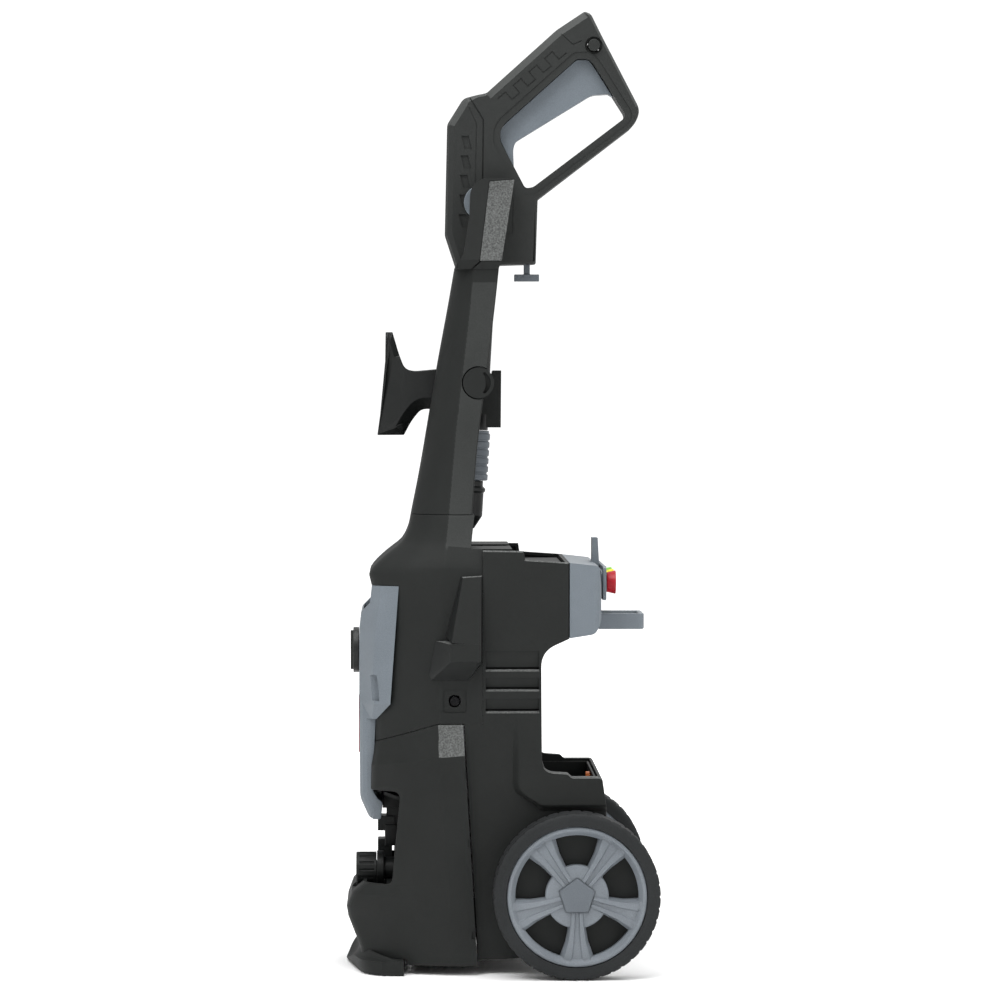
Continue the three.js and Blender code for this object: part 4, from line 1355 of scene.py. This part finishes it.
def lanceBracket():
    # the bracket's round boss has a crescent recess on its rear half
    _, high = sizeOf("lance_bracket")
    y, z = bossSpot
    arc = np.linspace(-1.05, 1.05, 13)
    outer = np.column_stack([y + 11.2 * np.cos(arc), z + 11.2 * np.sin(arc)])
    inner = np.column_stack([y + 1.5 + 5 * np.cos(arc), z + 10 * np.sin(arc)])[::-1]
    crescent = np.concatenate([outer, inner])
    cuts = sidePair("crescent", crescent, high[0] - 5, high[0] + 3)
    mesh = cutWith(cleanMesh("bracket", nodes["lance_bracket"].data), cuts)
    return standFor(mesh, blackAbs, "lance_bracket", 24)


inletNut()
outletBlocks()
lanceBracket()
cordHook()
frontPanel()
panelAccent()
baseFoot()
print("hook, panel and foot made")


# ---- every moulded or machined piece takes its finish and edge radius ----
finishes = [  # material, and the edge radius of each node
    (blackAbs, {
        "top_deck": 0.8, "side_pod_right": 1.2, "side_pod_left": 1.2, "accessory_bin": 0.8,
    }),
    (smoothNylon, {
        "fitting_bay": 0.6, "switch_box": 0.6, "base_plate": 0.4, "inlet_stub": 0.5,
        "outlet_fitting": 0.8, "lance_body": 0.5, "lance_nozzle": 0.5, "motor_fan": 0.0,
        "capacitor": 0.8,
    }),
    (knobAbs, {"switch_knob": 1.0, "lock_button": 0.6}),
    (gripRubber, {"handle_grip_right": 0.7, "handle_grip_left": 0.7}),
    (greyAbs, {
        "rear_panel": 1.2, "nozzle_rack": 0.8, "rear_hose_hook": 1.0, "holster_pad_right": 0.8,
        "holster_pad_left": 0.8, "gun_trigger": 1.2,
    }),
    (darkGreyAbs, {"hose_clip": 0.5, "lance_collar": 0.4}),
    (orangeAbs, {"bin_plug": 0.5}),
    (redAbs, {"nozzle_red": 0.4}),
    (yellowAbs, {"nozzle_yellow": 0.4}),
    (greenAbs, {"nozzle_green": 0.4}),
    (whiteAbs, {"nozzle_white": 0.4}),
    (turnedSteel, {"axle": 0.4}),
    (blackedSteel, {"side_screw_right": 0.4, "side_screw_left": 0.4}),
    (turnedSteel, {
        "motor_can": 0.8, "wobble_plate": 0.4, "piston_1": 0.5, "piston_2": 0.5,
        "piston_3": 0.5, "lance_tip": 0.3,
    }),
    (copperWinding, {"motor_rotor": 0.5}),
    (castAluminium, {"pump_body": 1.0, "pump_head": 1.0}),
    (machinedBrass, {"gun_valve": 0.5}),
]
for material, edges in finishes:
    for nodeName, edge in edges.items():
        piece = roundedCopy(nodeName, material, edge)
        if nodeName.startswith("side_pod"):
            # side pods: undersides and front faces in the darker smooth nylon as painted shade, top faces
            # painted lighter as highlight
            takeFaces(piece, smoothNylon, lambda at, way: (way[:, 2] < -0.25) | (way[:, 1] < -0.3))
            takeFaces(piece, grainedHighlightAbs, lambda at, way: way[:, 2] > 0.6, keep=True)
print("moulded pieces made")


# ---- floor and light ----
def addFloor():
    mesh = bpy.data.meshes.new("floor")
    wide = 40.0
    corners = [(-1, -1), (1, -1), (1, 1), (-1, 1)]
    mesh.from_pydata([(u * wide, v * wide, 0) for u, v in corners], [], [(0, 1, 2, 3)])
    floor = addObject("floor", mesh)
    material, tree, shader = newMaterial("pale floor")
    shader.inputs["Base Color"].default_value = (0.98, 0.98, 0.98, 1)
    shader.inputs["Roughness"].default_value = 0.9
    # the sheet glows evenly beyond the lamps' pools of light, so it has no horizon
    place = addNode(tree, "ShaderNodeTexCoord")
    away = addNode(tree, "ShaderNodeVectorMath", {"operation": "LENGTH"}, {"Vector": (place, "Object")})
    glow = addNode(
        tree,
        "ShaderNodeMapRange",
        {"From Min": 0.5, "From Max": 3.0, "To Max": 0.6},
        {"Value": (away, "Value")},
    )
    rays = addNode(tree, "ShaderNodeLightPath")
    seen = addNode(tree, "ShaderNodeMath", {"operation": "MULTIPLY"})
    tree.links.new(glow.outputs["Result"], seen.inputs[0])
    tree.links.new(rays.outputs["Is Camera Ray"], seen.inputs[1])
    shader.inputs["Emission Color"].default_value = (1, 1, 1, 1)
    tree.links.new(seen.outputs["Value"], shader.inputs["Emission Strength"])
    mesh.materials.append(material)


lights = {
    "key": {"place": (2.4, -1.4, 3.8), "size": 2.0, "power": 100},
    "top": {"place": (0.4, 0.3, 4.4), "size": 3.0, "power": 120},
    "fill": {"place": (2.8, 2.6, 1.4), "size": 2.0, "power": 22},
    "back": {"place": (-3.0, 1.0, 3.0), "size": 1.6, "power": 50},
}


def addLights():
    for name, setup in lights.items():
        lamp = addObject(name, bpy.data.lights.new(name, "AREA"))
        lookAt(lamp, setup["place"], (0, 0, 0.45))
        lamp.data.size = setup["size"]
        lamp.data.energy = setup["power"]
    world = bpy.data.worlds.new("studio")
    world.use_nodes = True
    tree = world.node_tree
    # the backdrop is a bright white sheet; the light it gives the piece is softer
    rays = addNode(tree, "ShaderNodeLightPath")
    strength = addNode(
        tree,
        "ShaderNodeMapRange",
        {"To Min": 0.62, "To Max": 1.1},  # on the piece, and as the camera sees it
        {"Value": (rays, "Is Camera Ray")},
    )
    backdrop = tree.nodes["Background"]
    backdrop.inputs["Color"].default_value = (1, 1, 1, 1)
    tree.links.new(strength.outputs["Result"], backdrop.inputs["Strength"])
    bpy.context.scene.world = world
    bpy.context.scene.view_settings.view_transform = "Standard"


addFloor()
addLights()
print("studio lit")
